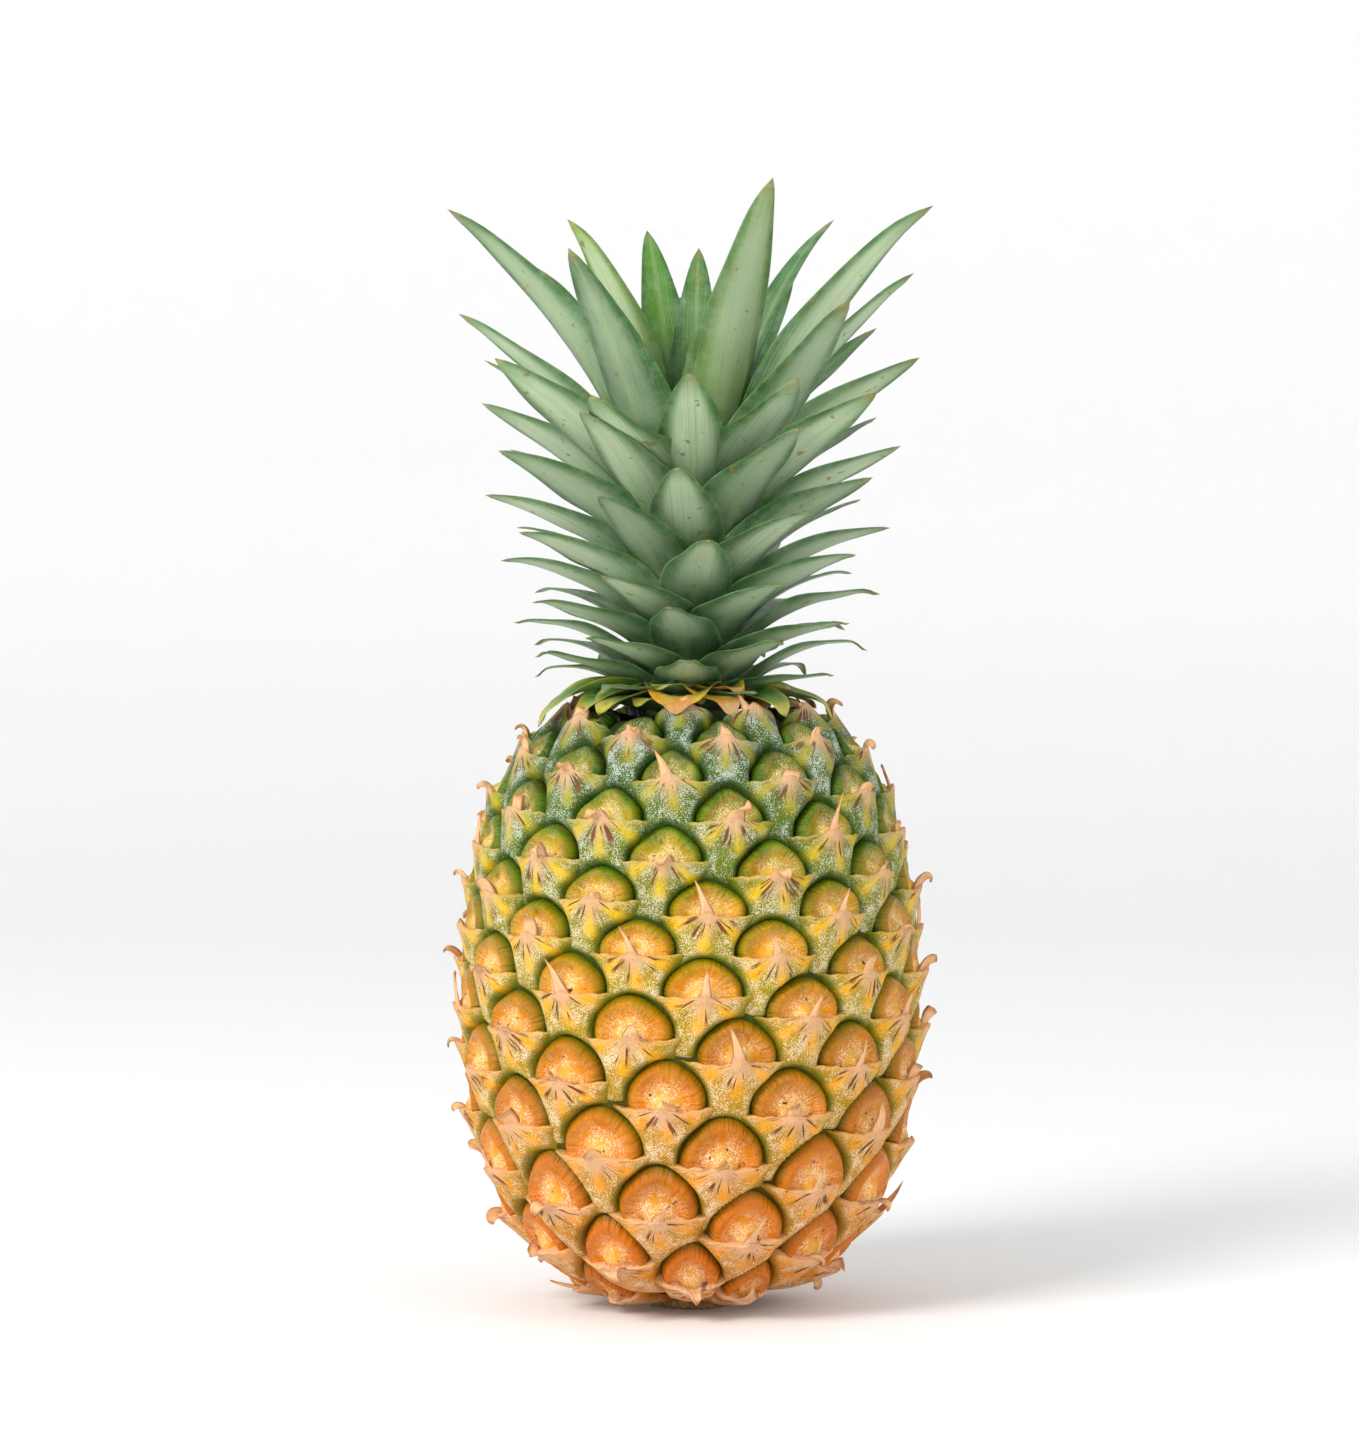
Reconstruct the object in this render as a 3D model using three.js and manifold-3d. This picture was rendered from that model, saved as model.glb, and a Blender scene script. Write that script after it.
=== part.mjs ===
// A whole fresh pineapple, standing on its base: the fruit with its raised eyes, the leafy crown, and the cut stem.
// Millimetres, +Z up. The origin is the middle of the cut stem's flat end, on the surface the fruit stands on.
// Azimuth 0 is the front (-Y), and it grows towards +X.

import * as THREE from "three";
import { mergeVertices } from "three/addons/utils/BufferGeometryUtils.js";
import Module from "manifold-3d";

const wasm = await Module();
wasm.setup();

// Driving dimensions of the fruit, at the lips of its eyes
const WAIST_RADIUS = 63;
const WAIST_HEIGHT = 82;
const SHOULDER_RISE = 83; // waist to the top of the fruit
const BASE_DROP = 82; // waist to the underside
const SHOULDER_POWER = [3.7, 2.15]; // superellipse powers of radius and height, above the waist
const BASE_POWER = [2.7, 2.2]; // and below it

// The eyes stand on ten spiral rows that run down to the left. Each row starts a little further down than the last.
const ROW_TURN = 36;
const EYE_TURN = 18.07; // each eye of a row is this many degrees left of the one above it
const FIRST_AZIMUTH = -12.5;
const FIRST_EYE = 0.49;
const ROW_SHIFTS = [1.15, 1.03, 1.38, 1.05, 1.53, 1.17, 1.46, 1.41, 1.41, 1.41]; // in eyes, 13 in all
const EYE_STEP = 10.15; // down the skin from eye to eye where they are smallest
const EYE_GROWTH = 0.133; // eyes grow with the square of their distance from that place
const SMALLEST_EYE = 5.14;
const WAIST_EYE = 7.67;
const TOP_EYE = -0.7; // where the skin ends under the crown and round the stem
const LAST_EYE = 14.1;
const END_SNAP = 0.06; // grid points this near an end move on to it
const DISH_DEPTH = 4.5; // the top is hollowed a little round the crown's stem
const DISH_RADII = [15, 31];

// Relief of one eye, over the bottom of the grooves
const DOME_HEIGHT = 3.0;
const LIP_HEIGHT = 4.6;
const BRACT_SLOPE = 2.4;
const TIP_REACH = 2.2;
const TIP_RISE = 5.5;
const LIP_BOW = 0.2; // the lip's middle stands this much higher than its ends, in half eyes
const BORDER_BULGE = 0.13;
const SMALL_EYE_RADIUS = 34; // nearer the axis than this the relief fades with the radius

// The cut stem, in a socket in the underside, and the crown's stem, in one in the top
const STEM_RADIUS = 11.6;
const STEM_DEPTH = 9;
const CROWN_STEM_RADIUS = 13;
const CROWN_STEM_BASE = 158;
const CROWN_STEM_TOP = 236;
const GAP = 0.4;

// The crown's leaves: five twelfths of a turn from leaf to leaf, taller and longer towards the top
const LEAF_TURN = 150;
const LEAF_START = 30;
const RULE_LEAVES = [0, 63];
const TURN_WANDER = 5;
const BLADE_THICKNESS = 1.7;
const SHORT_BLADE_STEPS = 4;
const TALL_BLADE_STEPS = 5;

const radians = THREE.MathUtils.degToRad;
const { clamp, lerp, smoothstep } = THREE.MathUtils;

// A repeatable number from 0 to 1 for each count and salt
function draw(count, salt) {
  const s = Math.sin(count * 12.9898 + salt * 78.233) * 43758.5453;
  return s - Math.floor(s);
}

// A closed three.js geometry as a manifold solid, and back
function solidOf(geometry) {
  const bare = geometry.clone();
  bare.deleteAttribute("normal");
  bare.deleteAttribute("uv");
  const merged = mergeVertices(bare, 1e-3);
  return new wasm.Manifold(
    new wasm.Mesh({
      numProp: 3,
      vertProperties: new Float32Array(merged.attributes.position.array),
      triVerts: new Uint32Array(merged.index.array),
    }),
  );
}

function geometryOf(solid) {
  const mesh = solid.getMesh();
  const geometry = new THREE.BufferGeometry();
  geometry.setAttribute("position", new THREE.BufferAttribute(mesh.vertProperties, 3));
  geometry.setIndex(new THREE.BufferAttribute(mesh.triVerts, 1));
  geometry.computeVertexNormals();
  return geometry;
}

function geometryFrom(points, triangles) {
  const geometry = new THREE.BufferGeometry();
  geometry.setAttribute("position", new THREE.Float32BufferAttribute(points.flat(), 3));
  geometry.setIndex(triangles.flat());
  geometry.computeVertexNormals();
  return geometry;
}

// The fruit's outline: two quarter superellipses that meet at the waist, with the length of skin down from the top
function skinProfile(steps = 1200) {
  const points = [];
  let length = 0;
  for (let i = 0; i <= steps; i++) {
    const turn = Math.PI / 2 - (Math.PI * i) / steps;
    const [radiusPower, heightPower] = turn > 0 ? SHOULDER_POWER : BASE_POWER;
    const half = turn > 0 ? SHOULDER_RISE : BASE_DROP;
    const radius = WAIST_RADIUS * Math.max(0, Math.cos(turn)) ** (2 / radiusPower);
    const height = WAIST_HEIGHT + half * Math.sign(turn) * Math.abs(Math.sin(turn)) ** (2 / heightPower);
    if (i) length += Math.hypot(radius - points[i - 1].radius, height - points[i - 1].height);
    points.push({ radius, height, length });
  }
  return points;
}

const profile = skinProfile();
const waistLength = profile.find((p) => p.height <= WAIST_HEIGHT).length;

// The skin at a count of eyes down a row: radius, height and the outward normal in the upright plane
function skinAt(eye) {
  const spread = ((eye - SMALLEST_EYE) ** 3 - (WAIST_EYE - SMALLEST_EYE) ** 3) / 3;
  const length = waistLength + EYE_STEP * (eye - WAIST_EYE) + EYE_GROWTH * spread;
  const next = clamp(profile.findIndex((p) => p.length >= length), 2, profile.length - 2);
  const [a, b] = [profile[next - 1], profile[next]];
  const share = clamp((length - a.length) / (b.length - a.length), 0, 1);
  const [before, after] = [profile[next - 2], profile[next + 1]];
  const normal = new THREE.Vector2(before.height - after.height, after.radius - before.radius).normalize();
  const radius = lerp(a.radius, b.radius, share);
  const dish = eye < WAIST_EYE ? DISH_DEPTH * (1 - smoothstep(radius, ...DISH_RADII)) : 0;
  return { radius, height: lerp(a.height, b.height, share) - dish, normal };
}

// Where each row's first eye lies, in eyes down the row
const rowStarts = [FIRST_EYE];
for (const shift of ROW_SHIFTS) rowStarts.push(rowStarts.at(-1) + shift);

// The border between two eyes bulges round the dome below it: its shift sideways and up at a share of its length
function borderBulge(share) {
  return [
    BORDER_BULGE * Math.sin(2 * Math.PI * share),
    1.6 * BORDER_BULGE * Math.sin(Math.PI * share) * (1 - share),
  ];
}

// The height of an eye over the groove. Across and down run from -0.5 to 0.5 along the two spirals through it:
// a smooth dome fills the upper half, and a bract rises to a lip over the dome's foot in the lower half.
function eyeHeight(across, down) {
  const inside = 1 - 2 * Math.max(Math.abs(across), Math.abs(down));
  const up = -(across + down);
  const lip = LIP_BOW * (1 - Math.abs(across - down));
  const rim = smoothstep(inside, 0, 0.3);
  if (up > lip) return DOME_HEIGHT * rim * (0.8 + 0.2 * inside);
  return (LIP_HEIGHT + BRACT_SLOPE * (up - lip)) * rim;
}

// The fruit: a grid that follows the spirals, with grooves on the cell borders and a pulled-out tip at each centre
function makeFruit() {
  const cell = [-0.5, -0.36, -0.12, 0, 0.3];
  const rows = ROW_SHIFTS.length;
  const columns = rows * cell.length;
  const wrap = Math.round(rowStarts.at(-1) - rowStarts[0]) * cell.length;
  const points = [];
  const known = new Map();

  function keep(key, point) {
    if (!known.has(key)) {
      known.set(key, points.length);
      points.push(point());
    }
    return known.get(key);
  }

  function around(azimuth, radius, height) {
    return [radius * Math.sin(azimuth), -radius * Math.cos(azimuth), height];
  }

  function skinPoint(column, line) {
    const row = Math.floor(column / cell.length);
    const across = cell[column - row * cell.length];
    const down = cell[((line % cell.length) + cell.length) % cell.length];
    const before = ROW_SHIFTS[(row + rows - 1) % rows];
    const shift = across < 0 ? before : ROW_SHIFTS[row];
    const place = Math.floor(line / cell.length) + down + rowStarts[row] + across * shift;
    const ended = place < TOP_EYE + END_SNAP || place > LAST_EYE - END_SNAP;
    const eye = !ended ? place : place < WAIST_EYE ? TOP_EYE : LAST_EYE;
    const ending = smoothstep(Math.min(eye - TOP_EYE, LAST_EYE - eye), 0, 0.5);
    const [sideA, upA] = borderBulge(across + 0.5);
    const [sideB, upB] = borderBulge(down + 0.5);
    const [nearA, nearB] = [(2 * down) ** 2, (2 * across) ** 2];
    const side = (sideA * nearA - sideB * nearB) * ending;
    const up = (upA * nearA + upB * nearB) * ending;
    const azimuth =
      FIRST_AZIMUTH + ROW_TURN * (row + across) - EYE_TURN * eye + (side * ROW_TURN) / 2;
    const skin = skinAt(eye - up);
    const size = ending * Math.min(1, skin.radius / SMALL_EYE_RADIUS);
    const centre = across === 0 && down === 0 && !ended;
    const count = 40 * row + Math.floor(line / cell.length);
    const reach = centre ? TIP_REACH * (0.6 + 0.8 * draw(count, 1)) : 0;
    const out = size * (eyeHeight(across, down) - LIP_HEIGHT + reach);
    const rise = centre ? size * TIP_RISE * (0.3 + draw(count, 2)) : 0;
    const radius = skin.radius + out * skin.normal.x - rise * skin.normal.y;
    const height = skin.height + out * skin.normal.y + rise * skin.normal.x;
    return around(radians(azimuth), radius, Math.max(0, height));
  }

  // A grid point's number. A turn of ten rows comes back to the first one, thirteen eyes further down.
  function at(column, line) {
    if (column === columns) return at(0, line + wrap);
    const row = Math.floor(column / cell.length);
    const place = Math.floor(line / cell.length) + rowStarts[row];
    if (place < TOP_EYE - 3) return at(column, line + cell.length);
    if (place > LAST_EYE + 3) return at(column, line - cell.length);
    const point = skinPoint(column, line);
    return keep(`${column} ${point.map((x) => x.toFixed(3))}`, () => point);
  }

  const triangles = [];
  const lines = cell.length * (Math.ceil(LAST_EYE - TOP_EYE) + 4);
  const firstLine = cell.length * (Math.floor(TOP_EYE - rowStarts.at(-1)) - 1);
  for (let column = 0; column < columns; column++) {
    for (let line = firstLine; line < firstLine + lines + wrap; line++) {
      const [a, b] = [at(column, line), at(column + 1, line)];
      const [c, d] = [at(column + 1, line + 1), at(column, line + 1)];
      if (a !== d && b !== d && a !== b) triangles.push([a, d, b]);
      if (b !== d && d !== c && b !== c) triangles.push([b, d, c]);
    }
  }

  // Both ends step into a round socket and close flat
  function endRing(eye, radius, height, name) {
    return Array.from({ length: columns }, (_, column) => {
      const row = Math.floor(column / cell.length);
      const across = cell[column - row * cell.length];
      const azimuth = FIRST_AZIMUTH + ROW_TURN * (row + across) - EYE_TURN * eye;
      return keep(`${name} ${column}`, () => around(radians(azimuth), radius, height));
    });
  }

  function closeEnd(eye, line, radius, floor, facing) {
    const skin = skinAt(eye);
    const edge = Array.from({ length: columns }, (_, column) => at(column, line));
    const rim = endRing(eye, radius, Math.max(0, skin.height), `rim${eye}`);
    const foot = endRing(eye, radius, floor, `foot${eye}`);
    const middle = keep(`middle${eye}`, () => [0, 0, floor]);
    const add = (a, b, c) => triangles.push(facing > 0 ? [a, b, c] : [a, c, b]);
    for (let i = 0; i < columns; i++) {
      const j = (i + 1) % columns;
      add(edge[i], edge[j], rim[i]);
      add(edge[j], rim[j], rim[i]);
      add(rim[i], rim[j], foot[i]);
      add(rim[j], foot[j], foot[i]);
      add(foot[i], foot[j], middle);
    }
  }

  closeEnd(TOP_EYE, firstLine, CROWN_STEM_RADIUS + GAP, CROWN_STEM_BASE - GAP, 1);
  closeEnd(LAST_EYE, firstLine + lines + wrap, STEM_RADIUS + GAP, STEM_DEPTH + GAP, -1);
  return geometryFrom(points, triangles);
}

// The cut stem: a short round plug with a narrow bevel round its flat end
function makeCutStem() {
  const bevel = 0.8;
  const outline = [
    [0, 0],
    [STEM_RADIUS - bevel, 0],
    [STEM_RADIUS, bevel],
    [STEM_RADIUS, STEM_DEPTH],
    [0, STEM_DEPTH],
  ].map(([x, y]) => new THREE.Vector2(x, y));
  const geometry = new THREE.LatheGeometry(outline, 28);
  geometry.rotateX(Math.PI / 2);
  return geometryOf(solidOf(geometry));
}

// The leaves the rule gives: azimuth, how far out and how high the tip is, the height of the foot, the widest half
// width, and the slope of the blade at its foot and at its tip
function ruleLeaf(count) {
  const tipHeight = 167.5 + 0.86 * count + 0.0113 * count ** 2;
  const share = count / RULE_LEAVES[1];
  const lowest = Math.exp(-count / 4);
  return {
    azimuth: LEAF_START + LEAF_TURN * count + TURN_WANDER * (2 * draw(count, 3) - 1),
    reach: 48.5 + 0.0036 * count ** 2 + 4 * (draw(count, 4) - 0.5) - 12 * lowest,
    tipHeight: tipHeight + 2.4 * (draw(count, 5) - 0.3),
    footHeight: Math.max(165.5 + 0.12 * count, tipHeight - 9.5 - 0.0121 * count ** 2),
    halfWidth: lerp(10, 12, share),
    footSlope: lerp(32, 72, share ** 0.8),
    tipSlope: lerp(-34, 34, share ** 0.7),
    steps: count < RULE_LEAVES[1] / 2 ? SHORT_BLADE_STEPS : TALL_BLADE_STEPS,
  };
}

// The tall leaves at the top of the crown, in the same terms, by eye: they lean out less the further in they stand
const TALL_LEAVES = [
  [-86, 66, 296, 208, 9.5, 74, 34],
  [-104, 65, 269, 204, 9.5, 72, 32],
  [-72, 36, 293, 218, 8.0, 82, 48],
  [-42, 46, 284, 205, 13.0, 72, 54],
  [-155, 30, 293.5, 220, 9.0, 84, 66],
  [176, 22, 288, 222, 8.0, 86, 74],
  [34, 36, 303, 208, 12.5, 78, 62],
  [122, 46, 296, 216, 9.5, 80, 44],
  [82, 66, 297, 208, 9.5, 74, 36],
  [104, 63, 280, 206, 9.0, 72, 36],
  [50, 56, 270, 200, 12.0, 70, 46],
  [148, 54, 282, 210, 9.0, 74, 44],
  [-128, 56, 284, 212, 9.0, 76, 44],
  [-178, 48, 276, 208, 9.5, 74, 48],
  [12, 13, 262, 222, 6.0, 84, 80],
  [130, 14, 268, 224, 6.0, 84, 80],
  [-115, 15, 264, 223, 6.0, 84, 80],
].map(([azimuth, reach, tipHeight, footHeight, halfWidth, footSlope, tipSlope]) => ({
  azimuth,
  reach,
  tipHeight,
  footHeight,
  halfWidth,
  footSlope,
  tipSlope,
  steps: TALL_BLADE_STEPS,
}));

// Short broad scale leaves round the crown's foot, close over the top of the fruit
const SCALE_LEAVES = 7;

function scaleLeaf(count) {
  return {
    azimuth: -72 + (360 / SCALE_LEAVES) * count + 2 * TURN_WANDER * (2 * draw(count, 6) - 1),
    reach: 27 + 3 * draw(count, 7),
    tipHeight: 167 + draw(count, 8),
    footHeight: 165,
    halfWidth: 8,
    footSlope: 25,
    tipSlope: -5,
    steps: SHORT_BLADE_STEPS,
  };
}

// One blade: a Bezier midrib in an upright plane, carried by a thin crescent section with its edges turned up
function makeBlade(leaf) {
  const footRadius = 8;
  const slope = (degrees) => new THREE.Vector2(Math.cos(radians(degrees)), Math.sin(radians(degrees)));
  const foot = new THREE.Vector2(footRadius, leaf.footHeight - 4);
  const tip = new THREE.Vector2(leaf.reach, leaf.tipHeight);
  const span = foot.distanceTo(tip);
  const curve = new THREE.CubicBezierCurve(
    foot,
    foot.clone().addScaledVector(slope(leaf.footSlope), 0.38 * span),
    tip.clone().addScaledVector(slope(leaf.tipSlope), -0.34 * span),
    tip,
  );
  const sin = Math.sin(radians(leaf.azimuth));
  const cos = Math.cos(radians(leaf.azimuth));
  const place = (radius, side, height) => [
    radius * sin + side * cos,
    -radius * cos + side * sin,
    height,
  ];
  const points = [];
  const triangles = [];
  for (let i = 0; i <= leaf.steps; i++) {
    const share = i / leaf.steps;
    const middle = curve.getPoint(share);
    const along = curve.getTangent(share);
    const width = leaf.halfWidth * bladeWidth(share);
    const thick = BLADE_THICKNESS * (1 - 0.55 * share);
    const lift = width * lerp(0.62, 0.25, share);
    const inner = (amount) => [middle.x - along.y * amount, middle.y + along.x * amount];
    if (i === leaf.steps) {
      points.push(place(middle.x, 0, middle.y));
      break;
    }
    const [edgeRadius, edgeHeight] = inner(lift);
    points.push(place(edgeRadius, -width, edgeHeight));
    points.push(place(inner(thick / 2)[0], 0, inner(thick / 2)[1]));
    points.push(place(edgeRadius, width, edgeHeight));
    points.push(place(inner(-thick / 2)[0], 0, inner(-thick / 2)[1]));
  }
  for (let i = 0; i < leaf.steps - 1; i++) {
    for (let k = 0; k < 4; k++) {
      const [a, b] = [4 * i + k, 4 * i + ((k + 1) % 4)];
      triangles.push([a, b, a + 4], [b, b + 4, a + 4]);
    }
  }
  const last = 4 * (leaf.steps - 1);
  for (let k = 0; k < 4; k++) triangles.push([last + k, last + ((k + 1) % 4), last + 4]);
  triangles.push([0, 2, 1], [0, 3, 2]);
  const solid = solidOf(geometryFrom(points, triangles));
  return solid.volume() < 0 ? solidOf(geometryFrom(points, triangles.map(([a, b, c]) => [a, c, b]))) : solid;
}

// A blade is widest a quarter of the way out and tapers to a point
function bladeWidth(share) {
  return (0.5 + 2.6 * share) * (1 - share) ** 0.7 * (1 - 0.45 * share);
}

// The crown: every leaf's foot is sunk in the short tapered stem
function makeCrown() {
  const outline = [
    [0, CROWN_STEM_BASE],
    [CROWN_STEM_RADIUS - 1, CROWN_STEM_BASE],
    [CROWN_STEM_RADIUS, CROWN_STEM_BASE + 10],
    [CROWN_STEM_RADIUS - 2, CROWN_STEM_BASE + 40],
    [CROWN_STEM_RADIUS / 2, CROWN_STEM_TOP - 14],
    [0, CROWN_STEM_TOP],
  ].map(([x, y]) => new THREE.Vector2(x, y));
  const stem = new THREE.LatheGeometry(outline, 18);
  stem.rotateX(Math.PI / 2);
  const leaves = [...TALL_LEAVES];
  for (let count = 0; count < SCALE_LEAVES; count++) leaves.push(scaleLeaf(count));
  for (let count = RULE_LEAVES[0]; count <= RULE_LEAVES[1]; count++) leaves.push(ruleLeaf(count));
  const crown = leaves.map(makeBlade).reduce((whole, blade) => whole.add(blade), solidOf(stem));
  const largest = crown.decompose().sort((a, b) => b.volume() - a.volume())[0];
  return geometryOf(largest);
}

function piece(name, geometry, color, roughness) {
  const material = new THREE.MeshStandardMaterial({ color, roughness, metalness: 0 });
  const mesh = new THREE.Mesh(geometry, material);
  mesh.name = name;
  return mesh;
}

const pineapple = new THREE.Group();
pineapple.add(piece("fruit", makeFruit(), "#c98a2b", 0.55));
pineapple.add(piece("crown", makeCrown(), "#6f9a6a", 0.6));
pineapple.add(piece("cut_stem", makeCutStem(), "#b79b6c", 0.85));

export default pineapple;
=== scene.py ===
"""A whole fresh pineapple standing on its base: the dark rind, the eyes' domes, their bracts and dry tips,
the cut stem and the leafy crown, on a pale floor. Shapes are worked out in millimetres and written in
metres."""

import bpy
import numpy as np
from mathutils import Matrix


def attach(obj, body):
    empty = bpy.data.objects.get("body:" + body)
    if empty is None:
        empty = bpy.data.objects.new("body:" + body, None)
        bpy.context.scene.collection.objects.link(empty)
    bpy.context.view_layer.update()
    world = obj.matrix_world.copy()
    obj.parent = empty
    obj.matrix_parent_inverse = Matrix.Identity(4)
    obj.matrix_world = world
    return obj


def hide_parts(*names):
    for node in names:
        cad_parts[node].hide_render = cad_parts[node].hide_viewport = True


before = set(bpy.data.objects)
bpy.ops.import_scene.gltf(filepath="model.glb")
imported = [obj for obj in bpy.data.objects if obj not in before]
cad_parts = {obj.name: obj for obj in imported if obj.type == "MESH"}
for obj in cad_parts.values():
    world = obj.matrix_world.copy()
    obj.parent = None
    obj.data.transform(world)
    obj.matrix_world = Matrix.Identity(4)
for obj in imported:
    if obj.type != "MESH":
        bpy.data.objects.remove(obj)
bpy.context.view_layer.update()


# The rind between the eyes: the fruit's tough green skin, one closed barrel that shows only as the dark
# bottom of the grooves. It grew in one piece with the flesh, hollowed a little where the crown stands on it.

MM = 0.001
WAIST_RADIUS = 63.0
WAIST_HEIGHT = 82.0
SHOULDER_RISE = 83.0
BASE_DROP = 82.0
SHOULDER_POWERS = (3.7, 2.15)
BASE_POWERS = (2.7, 2.2)
DISH_DEPTH = 4.5
DISH_RADII = (15.0, 31.0)
GROOVE_DEPTH = 4.6
TABLE_GAP = 0.05


def smooth(value, low, high):
    """An S-shaped step from 0 at low to 1 at high."""
    share = np.clip((value - low) / (high - low), 0.0, 1.0)
    return share * share * (3.0 - 2.0 * share)


def fruit_outline(steps=2401):
    """Two quarter superellipses that meet at the waist, as radius and height against length of skin from the
    top, with the outward normal from the outline's slope."""
    turn = np.linspace(np.pi / 2, -np.pi / 2, steps)
    upper = turn > 0
    radius_power = np.where(upper, SHOULDER_POWERS[0], BASE_POWERS[0])
    height_power = np.where(upper, SHOULDER_POWERS[1], BASE_POWERS[1])
    half = np.where(upper, SHOULDER_RISE, BASE_DROP)
    radius = WAIST_RADIUS * np.clip(np.cos(turn), 0, 1) ** (2 / radius_power)
    height = WAIST_HEIGHT + half * np.sign(turn) * np.abs(np.sin(turn)) ** (2 / height_power)
    length = np.concatenate([[0], np.cumsum(np.hypot(np.diff(radius), np.diff(height)))])
    even = np.linspace(0, length[-1], steps)
    radius, height = np.interp(even, length, radius), np.interp(even, length, height)
    slope_out, slope_up = np.gradient(radius, even), np.gradient(height, even)
    size = np.hypot(slope_out, slope_up)
    return even, radius, height, -slope_up / size, slope_out / size


skin_length, skin_radius, skin_height, normal_out, normal_up = fruit_outline()
waist_length = skin_length[np.argmin(np.abs(skin_height - WAIST_HEIGHT))]
dish_share = (1 - smooth(skin_radius, *DISH_RADII)) * (skin_length < waist_length)
skin_height = skin_height - DISH_DEPTH * dish_share


def vectors(*parts):
    """Arrays spread to one shape and joined, so that each place holds one value of each."""
    return np.stack(np.broadcast_arrays(*parts), axis=-1)


def around(radius, turn, height):
    """Points at a radius and height and a turn in radians about the fruit's axis, where 0 is the front."""
    return vectors(radius * np.sin(turn), -radius * np.cos(turn), height)


def on_skin(azimuth, length, out):
    """Place a point at an azimuth in degrees and a length of skin from the top, raised out from the skin
    along its normal. Nothing goes below the table."""
    radius = np.interp(length, skin_length, skin_radius) + out * np.interp(length, skin_length, normal_out)
    height = np.interp(length, skin_length, skin_height) + out * np.interp(length, skin_length, normal_up)
    return around(radius, np.radians(azimuth), np.maximum(height, TABLE_GAP))


def grid_piece(name, points, ring=False, poles=(), **fields):
    """Make one object from an array of grids (grids, rows, columns, 3): neighbours join into four-sided
    faces, a ring joins its last column to its first, and a pole's row, 0 or -1, becomes one point that ends
    in triangles. Fields are stored on the points: three values as a vector, four as a colour."""
    number = np.arange(points[..., 0].size).reshape(points.shape[:3])
    for row in poles:
        number[:, row] = number[:, row, :1]
    left, right = (number, np.roll(number, -1, axis=2)) if ring else (number[:, :, :-1], number[:, :, 1:])
    faces = np.stack([left[:, :-1], left[:, 1:], right[:, 1:], right[:, :-1]], axis=-1)
    used, faces = np.unique(faces, return_inverse=True)
    faces = faces.reshape(-1, 4)
    at_first, at_last = faces[:, 0] == faces[:, 3], faces[:, 1] == faces[:, 2]
    corners = faces[~(at_first | at_last)].tolist()
    corners += faces[at_first][:, [0, 1, 2]].tolist() + faces[at_last][:, [0, 1, 3]].tolist()
    mesh = bpy.data.meshes.new(name)
    mesh.from_pydata(points.reshape(-1, 3)[used] * MM, [], corners)
    mesh.polygons.foreach_set("use_smooth", np.ones(len(mesh.polygons), dtype=bool))
    for field, values in fields.items():
        width = values.shape[-1]
        values = np.broadcast_to(values, points.shape[:3] + (width,)).reshape(-1, width)[used]
        kind, entry = ("FLOAT_COLOR", "color") if width == 4 else ("FLOAT_VECTOR", "vector")
        mesh.attributes.new(field, kind, "POINT").data.foreach_set(entry, values.astype(np.float32).ravel())
    piece = bpy.data.objects.new(name, mesh)
    bpy.context.collection.objects.link(piece)
    return piece


def linear(*hex_codes):
    """sRGB hex colours as linear red, green, blue and alpha."""
    codes = np.array([[int(code[i : i + 2], 16) for i in (1, 3, 5)] for code in hex_codes]) / 255
    rgb = np.where(codes <= 0.04045, codes / 12.92, ((codes + 0.055) / 1.055) ** 2.4)
    rgba = np.concatenate([rgb, np.ones((len(codes), 1))], axis=1)
    return rgba[0] if len(hex_codes) == 1 else rgba


RIPE_STOPS = (0.0, 0.25, 0.5, 0.75, 1.0)


def along(share, hex_codes, stops=RIPE_STOPS):
    """The colour at a share between stops, channel by channel. The usual stops run from green to ripe."""
    table = linear(*hex_codes)
    return np.stack([np.interp(share, stops, table[:, channel]) for channel in range(4)], axis=-1)


def blend(under, over, share):
    """One colour laid over another by a share from 0 to 1."""
    share = np.clip(share, 0, 1)[..., None]
    return under * (1 - share) + over * share


def new_material(name):
    """A material with its Principled shader, and the node tree that both stand in."""
    material = bpy.data.materials.new(name)
    material.use_nodes = True
    return material, material.node_tree, material.node_tree.nodes["Principled BSDF"]


def add(tree, kind, inputs=None, **settings):
    """Add a shader node with its settings, and give each input a value or a link to another node's output.
    An input goes by name or number: a Map Range takes its value at 0, runs from 1 to 2 and gives out 3 to
    4, and a colour Mix lays 7 over 6."""
    node = tree.nodes.new("ShaderNode" + kind)
    for setting, value in settings.items():
        setattr(node, setting, value)
    for entry, value in (inputs or {}).items():
        if isinstance(value, bpy.types.NodeSocket):
            tree.links.new(value, node.inputs[entry])
        else:
            node.inputs[entry].default_value = value
    return node


# the rind's dull green to brown, from green to ripe, darkened with painted shade where it lies at the groove
# bottoms
GROOVE_SHADE_COLOURS = ("#13210D", "#1C2F0A", "#303608", "#423408", "#4F2B0A")
SKIN_ROWS = 110
SKIN_COLUMNS = 144
SKIN_COVER = 0.3
SEAT_LENGTH = 8.0
SEAT_DEPTH = 3.0
SKIN_RIPENS = (20, 225)
SEAT_FADES = (24, 36)

skin_rows = np.linspace(0.0, skin_length[-1], SKIN_ROWS)
skin_turns = np.linspace(0, 360, SKIN_COLUMNS, endpoint=False)
skin_rows, skin_turns = np.meshgrid(skin_rows, skin_turns, indexing="ij")
skin_out = np.where(skin_rows < SEAT_LENGTH, -SEAT_DEPTH, SKIN_COVER - GROOVE_DEPTH)
skin_tint = along(smooth(skin_rows, *SKIN_RIPENS), GROOVE_SHADE_COLOURS)
skin_tint = blend(skin_tint, linear("#4C6030"), 1 - smooth(skin_rows, *SEAT_FADES))
skin_points = on_skin(skin_turns, skin_rows, skin_out)
rind_skin = grid_piece("rind_skin", skin_points[None], ring=True, poles=(0, -1), tint=skin_tint[None])
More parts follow.
